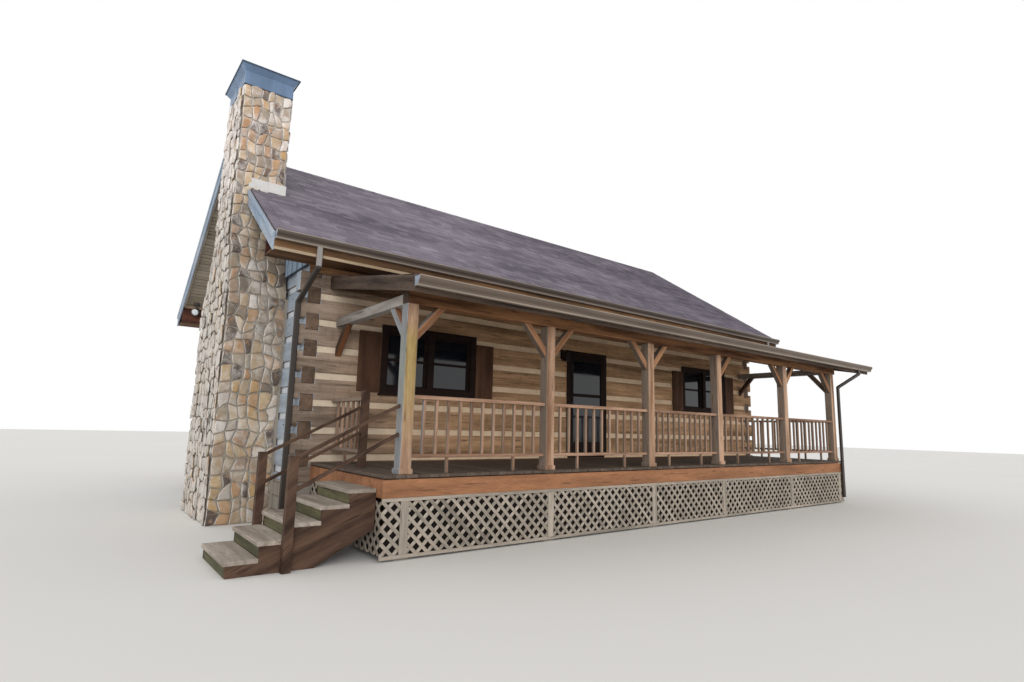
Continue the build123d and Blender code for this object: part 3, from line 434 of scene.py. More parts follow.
class Finish:
    """A node material under construction."""

    def __init__(self, name):
        self.material = bpy.data.materials.new(name)
        self.material.use_nodes = True
        self.tree = self.material.node_tree
        self.shader = self.tree.nodes["Principled BSDF"]

    def add(self, kind, inputs=(), **values):
        fresh = self.tree.nodes.new("ShaderNode" + kind)
        for key, value in values.items():
            setattr(fresh, key, value)
        for key, value in dict(inputs).items():
            if isinstance(value, bpy.types.NodeSocket):
                self.tree.links.new(value, fresh.inputs[key])
            else:
                fresh.inputs[key].default_value = value
        return fresh

    def place(self, scale=(1, 1, 1), grain=False):
        if grain:
            source = self.add("Attribute", attribute_name="grain").outputs["Vector"]
        else:
            source = self.add("TexCoord").outputs["Object"]
        return self.add("Mapping", {"Vector": source, "Scale": scale}).outputs[0]

    def noise(self, vector, scale=1.0, detail=4.0, rough=0.55, distortion=0.0):
        return self.add("TexNoise", {"Vector": vector, "Scale": scale, "Detail": detail, "Roughness": rough,
                                     "Distortion": distortion}).outputs[0]

    def ramp(self, value, *stops):
        ramp = self.add("ValToRGB", {"Fac": value})
        elements = ramp.color_ramp.elements
        while len(elements) < len(stops):
            elements.new(0.5)
        for element, (position, color) in zip(elements, stops):
            element.position = position
            if isinstance(color, (int, float)):
                color = (color, color, color)
            element.color = (*color, 1)
        return ramp.outputs[0]

    def mix(self, share, first, second, kind="MIX"):
        mixer = self.add("Mix", data_type="RGBA", blend_type=kind)
        for socket, value in ((mixer.inputs[0], share), (mixer.inputs[6], first), (mixer.inputs[7], second)):
            if isinstance(value, bpy.types.NodeSocket):
                self.tree.links.new(value, socket)
            else:
                socket.default_value = (*value, 1) if isinstance(value, tuple) else value
        return mixer.outputs[2]

    def darken(self, share, color, *shade):
        """Multiplies a share of a colour by another colour, or by a ramp given as its value and its stops."""
        by = self.ramp(*shade) if len(shade) > 1 else shade[0]
        return self.mix(share, color, by, "MULTIPLY")

    def calc(self, operation, first, second=0.0):
        return self.add("Math", {0: first, 1: second}, operation=operation).outputs[0]

    def coordinate(self, kind, axis):
        """One coordinate of a point's place, for Object, or of its face's direction, for Normal."""
        return self.add("SeparateXYZ", {"Vector": self.add("TexCoord").outputs[kind]}).outputs[axis]

    def sideways(self):
        """How far a face looks to the left or the right."""
        return self.calc("ABSOLUTE", self.coordinate("Normal", 0))

    def left_of(self, corner):
        """A share that is 1 to the left of a corner and in front of it, and 0 elsewhere."""
        left = self.calc("LESS_THAN", self.coordinate("Object", 0), corner[0])
        near = self.calc("LESS_THAN", self.coordinate("Object", 1), corner[1])
        return self.calc("MULTIPLY", left, near)

    def climb(self, axis, start, end):
        """A share that goes from 0 to 1 between two places along an axis."""
        spot = self.coordinate("Object", axis)
        return self.add("MapRange", {"Value": spot, "From Min": start, "From Max": end}).outputs[0]

    def along(self, color, axis, start, end, tint):
        """Tints a colour more and more from one place to another along an axis."""
        return self.mix(self.climb(axis, start, end), color, self.darken(1.0, color, tint))

    def tone(self):
        return self.add("Attribute", attribute_name="tone").outputs["Fac"]

    def bump(self, height, distance, strength=1.0):
        inputs = {"Height": height, "Distance": distance, "Strength": strength}
        if self.shader.inputs["Normal"].links:
            inputs["Normal"] = self.shader.inputs["Normal"].links[0].from_socket
        self.link(self.add("Bump", inputs).outputs[0], "Normal")

    def link(self, socket, name):
        self.tree.links.new(socket, self.shader.inputs[name])

    def done(self, color, roughness, **constants):
        self.link(color, "Base Color")
        if isinstance(roughness, bpy.types.NodeSocket):
            self.link(roughness, "Roughness")
        else:
            self.shader.inputs["Roughness"].default_value = roughness
        for key, value in constants.items():
            self.shader.inputs[key.replace("_", " ")].default_value = value
        return self.material


def scaled(color, factor):
    return tuple(min(1.0, channel * factor) for channel in color)


def scaled_vector(values, factor):
    return tuple(value * factor for value in values)


def wood(name, light, dark, weathered=None, skylit=None, corner=(0, 0), checks=0.6, scores=0.0,
         relief=0.002, grain=True, contrast=1.0, stretch=(0.6, 7, 7), painted_lighting=None, lichen=None):
    """Wood with streaks, fibres and drying cracks, and where asked painted shade on the side faces, painted
    skylight on them before a corner, painted light along an axis, and lichen at the corner.
    """
    finish = Finish(name)
    broad = finish.noise(finish.place(stretch, grain), 1.0, 5, 0.6, 0.4)
    fibre = finish.noise(finish.place(scaled_vector(stretch, 12), grain), 1.0, 4, 0.7)
    crack = finish.noise(finish.place(scaled_vector(stretch, 4), grain), 1.0, 2, 0.5)
    cloud = finish.noise(finish.place((1.6, 1.6, 1.6)), 1.0, 4, 0.6)
    color = finish.ramp(broad, (0.5 - 0.17 / contrast, tuple(dark)), (0.5 + 0.17 / contrast, tuple(light)))
    fibres = finish.ramp(fibre, (0.3, 0.62), (0.62, 1.0))
    color = finish.darken(0.75, color, fibres)
    color = finish.darken(0.8, color, finish.tone(), (0.0, 0.72), (1.0, 1.0))
    # Painted shade: the faces that look left or right take the shaded colour
    if weathered is not None:
        grey = tuple(weathered)
        if skylit is not None:
            grey = finish.mix(finish.left_of(corner), grey, tuple(skylit))
        grey = finish.darken(0.75, grey, broad, (0.32, 0.62), (0.66, 1.0))
        grey = finish.darken(0.6, grey, fibres)
        color = finish.mix(finish.ramp(finish.sideways(), (0.35, 0.0), (0.65, 1.0)), color, grey)
    color = finish.darken(0.45, color, cloud, (0.3, 0.72), (0.62, 1.0))
    # Painted light: a tint that grows along an axis, brightening the logs under the porch roof and darkening
    # the braces by the wall
    if painted_lighting:
        color = finish.along(color, *painted_lighting)
    if lichen:
        top, full, foot, tint = lichen
        patch = finish.left_of(corner)
        for share in (finish.climb(2, top, full), finish.ramp(finish.sideways(), (0.35, 1.0), (0.65, 0.25)),
                      finish.climb(2, foot, full - 0.4)):
            patch = finish.calc("MULTIPLY", patch, share)
        color = finish.mix(patch, color, finish.darken(1.0, color, tint))
    if scores:
        score = finish.noise(finish.place((13, 3, 3), grain), 1.0, 3, 0.6, 1.5)
        color = finish.darken(scores, color, score, (0.34, 0.6), (0.45, 1.0))
        finish.bump(score, relief * 1.5, 0.6)
    if checks:
        color = finish.mix(finish.ramp(crack, (0.3, checks), (0.36, 0.0)), color, scaled(dark, 0.3))
    finish.bump(fibre, relief * 0.5, 0.5)
    finish.bump(crack, relief * 2, 0.6)
    return finish.done(color, finish.ramp(fibre, (0.2, 0.92), (0.8, 0.7)), Specular_IOR_Level=0.25)


def plaster(name, color, skylit_tint=None, relief=0.004, grain_scale=30, painted_lighting=None):
    """Trowelled mortar, cooler beyond the ends of the front wall as painted skylight, and with painted light
    along an axis, where asked.
    """
    finish = Finish(name)
    place = finish.place()
    broad = finish.noise(place, 3, 4)
    grit = finish.noise(place, grain_scale, 5, 0.7)
    shade = finish.ramp(broad, (0.3, scaled(color, 0.8)), (0.7, tuple(color)))
    # Painted skylight on the gable chinking
    if skylit_tint is not None:
        reach = finish.calc("ABSOLUTE", finish.coordinate("Object", 0))
        shade = finish.mix(finish.calc("GREATER_THAN", reach, 5.9), shade, skylit_tint)
    shade = finish.darken(0.5, shade, grit, (0.3, 0.75), (0.6, 1.0))
    # Painted light: a tint that grows along an axis, brighter under the porch and up the chimney
    if painted_lighting:
        shade = finish.along(shade, *painted_lighting)
    finish.bump(grit, relief)
    finish.bump(broad, relief * 2)
    return finish.done(shade, 0.95, Specular_IOR_Level=0.15)


def painted(name, color, wear=0.15, gloss=0.5, streak=(2, 2, 2), metallic=0.0, above=None, upper=None,
            lip=None, ends=None):
    """Paint or enamel with dirt and uneven gloss, with other colours over a height, and painted highlights on
    lips and on ends.
    """
    finish = Finish(name)
    dirt = finish.noise(finish.place(streak), 1.0, 6, 0.65)
    speck = finish.noise(finish.place((60, 60, 60)), 1.0, 3)
    base = tuple(color)
    if upper is not None:
        over = finish.calc("GREATER_THAN", finish.coordinate("Object", 2), above)
        base = finish.mix(over, base, tuple(upper))
    # Painted highlight on the faces at the ends
    if ends is not None:
        base = finish.mix(finish.ramp(finish.sideways(), (0.6, 0.0), (0.8, 1.0)), base, ends)
    # Painted highlight along the lips
    if lip is not None:
        base = finish.mix(finish.add("Attribute", attribute_name="lip").outputs["Fac"], base, tuple(lip))
    shade = finish.darken(1.0, base, dirt, (0.3, 1 - wear), (0.62, 1.0))
    shade = finish.darken(0.3, shade, speck, (0.35, 0.8), (0.6, 1.0))
    finish.bump(speck, 0.0008, 0.6)
    rough = finish.ramp(dirt, (0.3, min(1.0, gloss + 0.2)), (0.7, gloss))
    return finish.done(shade, rough, Metallic=metallic, Specular_IOR_Level=0.4)


def shingle_finish(name, light, dark):
    """Mineral granules with tones that change from tab to tab, in wide patches of weathering and to the
    right.
    """
    finish = Finish(name)
    place = finish.place()
    tab = finish.ramp(finish.tone(), (0.0, tuple(dark)), (0.45, scaled(dark, 1.5)), (1.0, tuple(light)))
    patch = finish.noise(finish.place((0.35, 0.9, 0.9)), 1.0, 4, 0.6)
    granule = finish.noise(place, 160, 3, 0.8)
    streak = finish.noise(finish.place((2.2, 0.35, 0.35)), 1.0, 4, 0.6)
    shade = finish.mix(0.55, tab, finish.ramp(patch, (0.35, scaled(dark, 1.1)), (0.65, scaled(light, 1.05))))
    shade = finish.darken(0.7, shade, granule, (0.3, 0.6), (0.7, 1.0))
    shade = finish.darken(0.5, shade, streak, (0.36, 0.72), (0.62, 1.0))
    shade = finish.along(shade, 0, -6.0, 5.5, (0.72, 0.7, 0.72))
    finish.bump(granule, 0.003, 0.8)
    return finish.done(shade, 0.95, Specular_IOR_Level=0.1)


def stone_finish(name, tan, pale, dark):
    """Fieldstones of many tones with mottled faces, paler and patchy on the side faces, and paler at the top
    as painted light on the upper stack.
    """
    finish = Finish(name)
    place = finish.place()
    grey = (tan[0] * 0.72, tan[1] * 0.78, tan[2] * 0.92)
    ochre = (tan[0] * 1.05, tan[1] * 0.88, tan[2] * 0.62)
    rust = (tan[0] * 0.98, tan[1] * 0.68, tan[2] * 0.5)
    base = finish.ramp(finish.tone(), (0.0, scaled(dark, 0.8)), (0.12, tuple(dark)),
                       (0.18, scaled(grey, 0.8)), (0.4, tuple(tan)), (0.5, rust), (0.58, scaled(grey, 1.1)),
                       (0.7, tuple(tan)), (0.78, ochre), (0.86, scaled(tan, 1.25)), (0.94, tuple(pale)),
                       (1.0, grey))
    cloud = finish.noise(place, 7, 6, 0.65, 0.5)
    grit = finish.noise(place, 60, 5, 0.7)
    stain = finish.ramp(finish.noise(place, 9, 4, 0.6, 1.0), (0.52, 0.0), (0.68, 0.55))
    bloom = finish.ramp(finish.noise(place, 3, 5, 0.7), (0.5, 0.0), (0.7, 0.7))
    chips = finish.noise(finish.place((5, 12, 4)), 1.0, 5, 0.7, 0.6)
    shade = finish.darken(0.6, base, cloud, (0.3, 0.55), (0.6, 1.0))
    shade = finish.mix(stain, shade, rust)
    shade = finish.mix(bloom, shade, tuple(pale))
    # Paler patches on the faces that look left or right
    pale_patches = finish.darken(1.0, scaled(pale, 1.02), chips, (0.36, 0.25), (0.5, 1.0))
    shade = finish.mix(finish.ramp(finish.sideways(), (0.4, 0.0), (0.65, 0.8)), shade, pale_patches)
    shade = finish.darken(0.5, shade, grit, (0.3, 0.6), (0.6, 1.0))
    # Painted light: the stones grow paler up the stack, from below the roof to above it
    shade = finish.along(shade, 2, 4.2, 5.8, (1.3, 1.3, 1.34))
    finish.bump(cloud, 0.02, 0.5)
    finish.bump(grit, 0.006, 0.6)
    return finish.done(shade, 0.9, Specular_IOR_Level=0.25)


def glass_finish(name, color):
    """Dark panes with a thin film of dirt."""
    finish = Finish(name)
    film = finish.noise(finish.place((3, 3, 3)), 1.0, 3)
    shade = finish.ramp(film, (0.3, tuple(color)), (0.7, scaled(color, 1.6)))
    finish.bump(finish.noise(finish.place((2, 2, 2)), 1.0, 1), 0.002, 0.2)
    return finish.done(shade, finish.ramp(film, (0.3, 0.03), (0.7, 0.08)), Specular_IOR_Level=0.6)


def block_wall_finish(name, color):
    """Concrete blocks with joints."""
    finish = Finish(name)
    along = finish.calc("ADD", finish.coordinate("Object", 0), finish.coordinate("Object", 1))
    place = finish.add("CombineXYZ", {"X": along, "Y": finish.coordinate("Object", 2)}).outputs[0]
    bricks = finish.add("TexBrick", {"Vector": place, "Scale": 1.0, "Mortar Size": 0.012, "Brick Width": 0.4,
                                     "Row Height": 0.2, "Color1": (*color, 1),
                                     "Color2": (*scaled(color, 0.85), 1), "Mortar": (*scaled(color, 0.6), 1)})
    grit = finish.noise(finish.place(), 50, 5, 0.7)
    shade = finish.darken(0.5, bricks.outputs[0], grit, (0.3, 0.7), (0.6, 1.0))
    finish.bump(bricks.outputs[1], -0.006)
    finish.bump(grit, 0.003)
    return finish.done(shade, 0.95, Specular_IOR_Level=0.15)


def settings(name):
    return getattr(bpy.context.scene, name)


def post_centers():
    """The places of the six posts along the front, with the fourth one off its bay."""
    porch = settings("cabin_porch")
    centers = [porch.first_post + index * porch.bay for index in range(6)]
    centers[3] += porch.fourth_shift
    return centers


def skylit_corner():
    """The X and Y before which the porch timbers take the painted skylight colour, just past the first post.
    """
    return (settings("cabin_porch").first_post + 0.3, -1.4)


class CabinOperator(bpy.types.Operator):
    bl_options = {"REGISTER", "UNDO"}


class CABIN_OT_stage(CabinOperator):
    """Sets the floor, the lamps, the background and the camera"""
    bl_idname = "cabin.stage"
    bl_label = "Stage"

    def execute(self, context):
        stage = settings("cabin_stage")
        floor = shape("plane", "studio_floor", size=160, location=(0, 0, -0.002))
        finish = Finish("studio_floor")
        cloud = finish.noise(finish.place((0.2, 0.2, 0.2)), 1.0, 2)
        color = finish.ramp(cloud, (0.3, scaled(stage.floor_color, 0.98)), (0.7, tuple(stage.floor_color)))
        floor.data.materials.append(finish.done(color, 0.9, Specular_IOR_Level=0.1))
        self.sky(context.scene, stage.world_power)
        self.lamp(context.scene, "key", (0.35, 0.8, -0.21), stage.lamp_power, 40)
        self.lamp(context.scene, "fill", (0.6, -0.7, -0.5), stage.lamp_power * 0.35, 90)
        self.camera(context.scene, stage.lens)
        context.scene.view_settings.view_transform = "Standard"
        return {"FINISHED"}

    def sky(self, scene, power):
        """Even light all round, and plain white for the camera and for what the cabin reflects."""
        world = scene.world or bpy.data.worlds.new("studio")
        scene.world = world
        world.use_nodes = True
        tree = world.node_tree
        tree.nodes.clear()
        rays = tree.nodes.new("ShaderNodeLightPath")
        seen = rays.outputs["Is Camera Ray"]
        for kind in ("Is Glossy Ray", "Is Transmission Ray"):
            either = tree.nodes.new("ShaderNodeMath")
            either.operation = "MAXIMUM"
            tree.links.new(seen, either.inputs[0])
            tree.links.new(rays.outputs[kind], either.inputs[1])
            seen = either.outputs[0]
        blend = tree.nodes.new("ShaderNodeMixShader")
        tree.links.new(seen, blend.inputs[0])
        for index, strength in ((1, power), (2, 1.0)):
            light = tree.nodes.new("ShaderNodeBackground")
            light.inputs["Color"].default_value = (1, 1, 1, 1)
            light.inputs["Strength"].default_value = strength
            tree.links.new(light.outputs[0], blend.inputs[index])
        tree.links.new(blend.outputs[0], tree.nodes.new("ShaderNodeOutputWorld").inputs[0])

    def lamp(self, scene, name, direction, power, spread):
        """A soft lamp that shines in a direction, as wide as its spread in degrees."""
        lamp = bpy.data.lights.new(name, "SUN")
        lamp.energy = power
        lamp.angle = math.radians(spread)
        obj = bpy.data.objects.new(name, lamp)
        scene.collection.objects.link(obj)
        obj.rotation_euler = Vector(direction).to_track_quat("-Z", "Y").to_euler()

    def camera(self, scene, lens):
        """The photo's view, from its place and from its turn, pitch and roll in radians."""
        spot = (-8.6, -8.469, 1.477)
        turn, pitch, roll = 0.6562, 0.1521, 0.025
        ahead = Vector((math.sin(turn) * math.cos(pitch), math.cos(turn) * math.cos(pitch), math.sin(pitch)))
        right = Vector((math.cos(turn), -math.sin(turn), 0))
        up = right.cross(ahead)
        side = math.cos(roll) * right + math.sin(roll) * up
        top = -math.sin(roll) * right + math.cos(roll) * up
        camera = bpy.data.objects.new("camera", bpy.data.cameras.new("camera"))
        camera.data.lens = lens
        camera.data.clip_end = 500
        scene.collection.objects.link(camera)
        matrix = Matrix((side, top, -ahead)).transposed().to_4x4()
        matrix.translation = spot
        camera.matrix_world = matrix
        scene.camera = camera


class CABIN_OT_log_walls(CabinOperator):
    """Hews the wall logs and lays the chinking between them"""
    bl_idname = "cabin.log_walls"
    bl_label = "Log walls"

    def execute(self, context):
        logs = settings("cabin_logs")
        hewn = {"scores": 0.35, "relief": 0.006}
        # The third colour is painted skylight on the log ends that look left or right
        wall = (logs.wall_light, logs.wall_dark, scaled(logs.gable_skylit, 1.1))
        # Painted light: the front logs and their chinking grow brighter and warmer under the porch roof
        porch_side = (0, -5.7, -3.4)
        front_wood = wood("hewn_logs", *wall, painted_lighting=(*porch_side, (1.75, 1.38, 0.98)), **hewn)
        back_wood = wood("back_log_wood", *wall, **hewn)
        # The gable logs' side faces take painted skylight
        gable_wood = wood("weathered_logs", scaled(logs.log_end, 1.3), scaled(logs.log_end, 0.6),
                          scaled(logs.gable_skylit, 1.15), **hewn)
        front_nodes = ("front_logs_left", "front_logs_right", "front_logs_full_length")
        along, across = Vector((1, 0, 0)), Vector((0, 1, 0))
        for name, nodes, axis, start, end, material, seed in (
                ("front_log_wall", front_nodes, along, -6.2, 6.2, front_wood, 3),
                ("back_log_wall", ("back_logs",), along, -6.2, 6.2, back_wood, 4),
                ("gable_log_walls", ("gable_logs",), across, -0.1, 7.4, gable_wood, 5)):
            obj = taken(name, *nodes)
            place = start
            while place < end:
                place += logs.cut_spacing
                sliced(obj, axis * place, axis)
            clouded(obj, name, 0.35, logs.waver, 0.5)
            eased(obj, logs.arris, 2, 50)
            mark_grain(obj, seed)
            smooth(obj)
            finished(obj, material, "hewn_logs", replaces=nodes)
        # Chinking with painted skylight at the gables and painted light under the porch
        mortar = plaster("chinking", logs.mortar, srgb("dfe4ea"), painted_lighting=(*porch_side, (1.2, 1.09, 0.98)))
        dress(mortar, "chinking")
        blocks = block_wall_finish("block_wall", srgb("a19a90"))
        dress(blocks, "foundation_long_walls", "foundation_end_walls")
        dress(wood("floor_boards", srgb("9a7b5c"), srgb("6b5138"), grain=False), "house_floor")
        return {"FINISHED"}


class CABIN_OT_siding(CabinOperator):
    """Puts battens on the gable boards and a near-black drip board under them as a painted shadow line"""
    bl_idname = "cabin.siding"
    bl_label = "Gable siding"

    def execute(self, context):
        logs = settings("cabin_logs")
        low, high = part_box("gable_siding")
        base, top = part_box("gable_logs")[1].z, high.z
        half, depth, margin = logs.batten_width / 2, logs.batten_depth, 0.03
        middle = (low.y + high.y) / 2
        count = int((high.y - low.y) / logs.batten_spacing)
        battens, drips = [], []
        for face, outward in ((low.x, -1), (high.x, 1)):
            near, far = sorted((face, face + outward * depth))
            for index in range(count + 1):
                y = low.y + margin + index * (high.y - low.y - 2 * margin) / count
                reach = max(top - ROOF_SLOPE * (abs(y - middle) + half) - 0.01, base + 0.05)
                battens.append(board("batten", (near, y - half, base), (far, y + half, reach), 0.004))
            near, far = sorted((face - outward * 0.01, face + outward * (depth + 0.004)))
            drips.append(board("drip", (near, low.y, base - 0.014), (far, high.y, base + 0.003)))
        paint = painted("siding_paint", logs.siding_light, 0.25, 0.6, (3, 3, 0.4))
        dress(paint, "gable_siding")
        assembled("gable_battens", battens, paint, "siding_paint", 9)
        # Painted shadow: the drip board is near black where a dark shadow line runs under the siding
        shadow = painted("drip_paint", scaled(logs.siding_light, 0.12), 0.3, 0.6)
        assembled("siding_drips", drips, shadow, "siding_paint")
        return {"FINISHED"}


class CABIN_OT_shingles(CabinOperator):
    """Lays the shingle courses of both roofs and the ridge"""
    bl_idname = "cabin.shingles"
    bl_label = "Shingles"

    def field(self, name, material, left, right, head, foot_y, slope, seed):
        """Courses of tabs between two X positions, on a slope from its foot's Y up to its head."""
        roof = settings("cabin_roof")
        foot = Vector((0, foot_y, head.z - slope * abs(head.y - foot_y)))
        up = Vector((0, head.y, head.z)) - foot
        length = up.length
        up.normalize()
        across = Vector((1, 0, 0))
        out = across.cross(up)
        hand = 1 if out.z > 0 else -1
        out *= hand
        rows, gap, tilt, lift = 4, 0.004, -0.03, 0.002
        dice = random.Random(seed)
        tab = board("tab", (-0.5, 0, 0), (0.5, roof.exposure * 1.8, roof.tab_thickness), 0.002)
        sliced(tab, (0, roof.exposure * 0.5, 0), (0, 1, 0))
        matrices = []
        for row in range(rows):
            x = left - dice.random() * roof.tab_width
            while x < right:
                width = roof.tab_width * dice.choice((0.45, 0.7, 1.0, 1.3))
                height = dice.uniform(0.0, 0.003)
                y = row * roof.exposure + dice.uniform(-0.004, 0.004)
                matrix = Matrix.Translation((x + width / 2, y, height)) @ Matrix.Rotation(tilt, 4, "X")
                matrices.append(matrix @ Matrix.Diagonal((width - gap, 1, 1, 1)))
                x += width
        strip = repeated(tab, name, matrices)
        in_a_row(strip, math.ceil(length / (rows * roof.exposure)), (0, rows * roof.exposure, 0))
        for point, normal in (((left, 0, 0), (-1, 0, 0)), ((right, 0, 0), (1, 0, 0)),
                              ((0, length, 0), (0, 1, 0)), ((0, 0.002, 0), (0, -1, 0))):
            trimmed(strip, point, normal)
        matrix = Matrix((across * hand, up, out)).transposed().to_4x4()
        start = foot if hand > 0 else foot + across * (left + right)
        matrix.translation = start + out * lift
        return assembled(name, [placed(strip, matrix)], material, "shingles", seed)

    def execute(self, context):
        roof = settings("cabin_roof")
        material = shingle_finish("shingles", roof.shingle_light, roof.shingle_dark)
        dress(wood("roof_sheathing", srgb("8a6a4c"), srgb("553b28"), grain=False, stretch=(0.5, 8, 8)),
              "main_roof_front", "main_roof_back", "porch_roof")
        low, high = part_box("main_roof_front")
        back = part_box("main_roof_back")[1].y
        porch_low, porch_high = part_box("porch_roof")
        front = self.field("front_shingles", material, low.x, high.x, high, low.y, ROOF_SLOPE, 3)
        self.field("back_shingles", material, low.x, high.x, high, back, ROOF_SLOPE, 4)
        self.field("porch_shingles", material, porch_low.x, porch_high.x, porch_high, porch_low.y,
                   PORCH_SLOPE, 5)
        self.clear_chimney(front)
        self.ridge(material)
        return {"FINISHED"}

    def clear_chimney(self, piece):
        """Removes the tabs that would run into the chimney."""
        low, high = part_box("chimney_flashing")
        enter_edit_on(piece, "polygons", lambda face: face.center.x < high.x - 0.12
                      and low.y + 0.25 < face.center.y < high.y - 0.12)
        bpy.ops.mesh.delete(type="FACE")
        leave_edit()

    def ridge(self, material):
        """Laps bent caps along the ridge, each a little higher at the end that lies over the next."""
        low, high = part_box("ridge_cap")
        middle = (low.y + high.y) / 2
        half_length, spacing, rise = 0.15, 0.1502, 0.004
        cos, sin = math.cos(ROOF_ANGLE), math.sin(ROOF_ANGLE)
        half_width = (high.y - low.y) / 2 / cos
        cap = board("cap", (-half_length, -half_width, 0), (half_length, half_width, 0.006), 0.002)
        sliced(cap, (0, 0, 0), (0, 1, 0))
        for vertex in cap.data.vertices:
            y, z = vertex.co.y, vertex.co.z
            vertex.co.y = y * cos + math.copysign(z * sin, y) * (abs(y) > 1e-4)
            vertex.co.z = -abs(y) * sin + z / cos + rise * (half_length + vertex.co.x) / half_length
        count = int((high.x - low.x) / half_length) - 1
        caps = repeated(cap, "ridge_shingles", [
            Matrix.Translation((low.x + half_length + index * spacing, middle, high.z - rise))
            for index in range(count)])
        trimmed(caps, (high.x, 0, 0), (1, 0, 0))
        assembled("ridge_shingles", [caps], material, "shingles", 21)
        dress(material, "ridge_cap")


class CABIN_OT_roof_trim(CabinOperator):
    """Finishes rake boards, fascias and soffits, and boards the rake soffits"""
    bl_idname = "cabin.roof_trim"
    bl_label = "Roof trim"

    def execute(self, context):
        roof = settings("cabin_roof")
        rake = wood("rake_paint", roof.rake_paint, srgb("8ea6c0"), checks=0.2, relief=0.001)
        timber("rake_boards_painted", rake, "trim_boards", ("rake_boards",), 0.004, 2)
        fascia = wood("fascia_wood", roof.fascia_wood, scaled(roof.fascia_wood, 0.3), contrast=1.3)
        timber("eave_fascia_boards", fascia, "trim_boards", ("eave_fascias",), 0.004, 3)
        ungrained = {"grain": False, "stretch": (0.7, 7, 7)}
        dress(wood("eave_wood", srgb("946c4a"), srgb("4a3424"), **ungrained), "roof_soffits")
        soffit = wood("soffit_wood", roof.soffit_wood, scaled(roof.soffit_wood, 0.6), **ungrained)
        self.rake_boards_under(soffit)
        pale = wood("pale_trim_wood", srgb("dcc6aa"), srgb("a58c6a"), checks=0, relief=0.001)
        low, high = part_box("eave_fascias")
        strips = [board("fascia_strip", (low.x, y - 0.008, low.z), (high.x, y + 0.008, low.z + 0.042), 0.002)
                  for y in (low.y, high.y)]
        assembled("fascia_strips", strips, pale, "trim_boards", 13)
        # Painted light: a paler copy of the cream strip wood for the strips under the rakes, which get little
        # light
        painted_lit_pale = wood("rake_strip_wood", srgb("f1e3d0"), srgb("c9ae90"), checks=0, relief=0.001)
        assembled("rake_strips", self.rake_strips(), painted_lit_pale, "trim_boards", 16)
        self.friezes(fascia)
        self.eave_ends()
        self.yard_light()
        return {"FINISHED"}

    def yard_light(self):
        """A round lamp under the rake soffit at the back left corner."""
        low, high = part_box("main_roof_back")
        x, y = low.x + 0.27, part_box("gable_siding")[1].y - 0.1
        under = high.z - (y - low.y) * ROOF_SLOPE - ROOF_DROP - 0.03
        plate = shape("cylinder", "plate", vertices=20, radius=0.06, depth=0.05,
                      location=(x, y, under - 0.015))
        arm = shape("cylinder", "arm", vertices=12, radius=0.014, depth=0.16, location=(x, y, under - 0.09))
        head = shape("cylinder", "head", vertices=24, radius=0.075, depth=0.13, location=(0, 0, 0))
        enter_edit_on(head, "polygons", lambda face: face.normal.z > 0.9)
        bpy.ops.transform.resize(value=(1.25, 1.25, 1))
        bpy.ops.mesh.inset(thickness=0.008)
        bpy.ops.mesh.inset(thickness=0.004, depth=-0.012)
        leave_edit()
        lens = shape("uv_sphere", "lens", segments=20, ring_count=8, radius=0.078, location=(0, 0, 0.05),
                     scale=(1, 1, 0.4))
        aim = Vector((-0.5, -0.75, -0.4)).to_track_quat("Z", "Y").to_matrix().to_4x4()
        for obj in (head, lens):
            placed(obj, Matrix.Translation((x, y, under - 0.2)) @ aim)
        body = joined("yard_light_body", [plate, arm, head])
        eased(body, 0.002, 2)
        smooth(body)
        finished(body, painted("lamp_housing", srgb("4a4642"), 0.3, 0.45), "trim_boards")
        smooth(lens)
        assembled("yard_light_lens", [lens], painted("lamp_glass", srgb("dfe1e4"), 0.15, 0.25), "trim_boards")

    def friezes(self, material):
        """Natural boards at the top of the long walls, under the soffits."""
        low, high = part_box("front_logs_full_length")
        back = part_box("back_logs")[1].y
        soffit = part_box("roof_soffits")[0].z
        pieces = []
        for y0, y1 in ((low.y - 0.031, low.y - 0.024), (back + 0.024, back + 0.031)):
            for x0, x1 in ((low.x + 0.12, -1.9), (-1.894, 2.1), (2.106, high.x - 0.12)):
                pieces.append(board("frieze", (x0, y0, soffit + 0.002), (x1, y1, soffit + 0.108), 0.002))
        assembled("frieze_boards", pieces, material, "trim_boards", 14)

    def eave_ends(self):
        """Boards that close the boxed eaves under the rake overhangs, each with a pale strip."""
        low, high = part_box("main_roof_front")
        siding_low, siding_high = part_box("gable_siding")
        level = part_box("eave_fascias")[0].z + 0.03
        boards, strips = [], []
        for y, outward in ((siding_low.y, -1), (siding_high.y, 1)):
            top = high.z - abs(y - high.y) * ROOF_SLOPE - ROOF_DROP - 0.034
            near, far = sorted((y, y + outward * 0.02))
            for x0, x1 in ((low.x + 0.004, siding_low.x), (siding_high.x, high.x - 0.004)):
                boards.append(board("eave_end", (x0, near, level), (x1, far, top)))
                strips.append(board("eave_end_strip", (x0, near - 0.006, top - 0.05), (x1, far + 0.006, top)))
        for name, pieces, light, dark in (("eave_end_boards", boards, "6e4234", "3f241b"),
                                          ("eave_end_strips", strips, "cdb095", "97795c")):
            assembled(name, pieces, wood(name, srgb(light), srgb(dark)), "trim_boards", 15)

    def under_both_slopes(self, piece, start, drop):
        """Copies of a shape that runs along Y, laid under each slope from a Y position up to the ridge."""
        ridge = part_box("main_roof_front")[1]
        height = ridge.z - (ridge.y - start) * ROOF_SLOPE - ROOF_DROP - drop
        copies = []
        for hand, foot in ((1, start), (-1, 2 * ridge.y - start)):
            matrix = Matrix.Translation((0, foot, height)) @ Matrix.Diagonal((1, hand, 1, 1))
            copies.append(copied(piece, matrix @ Matrix.Rotation(ROOF_ANGLE, 4, "X")))
            faced_outward(copies[-1])
        bpy.data.objects.remove(piece)
        return copies

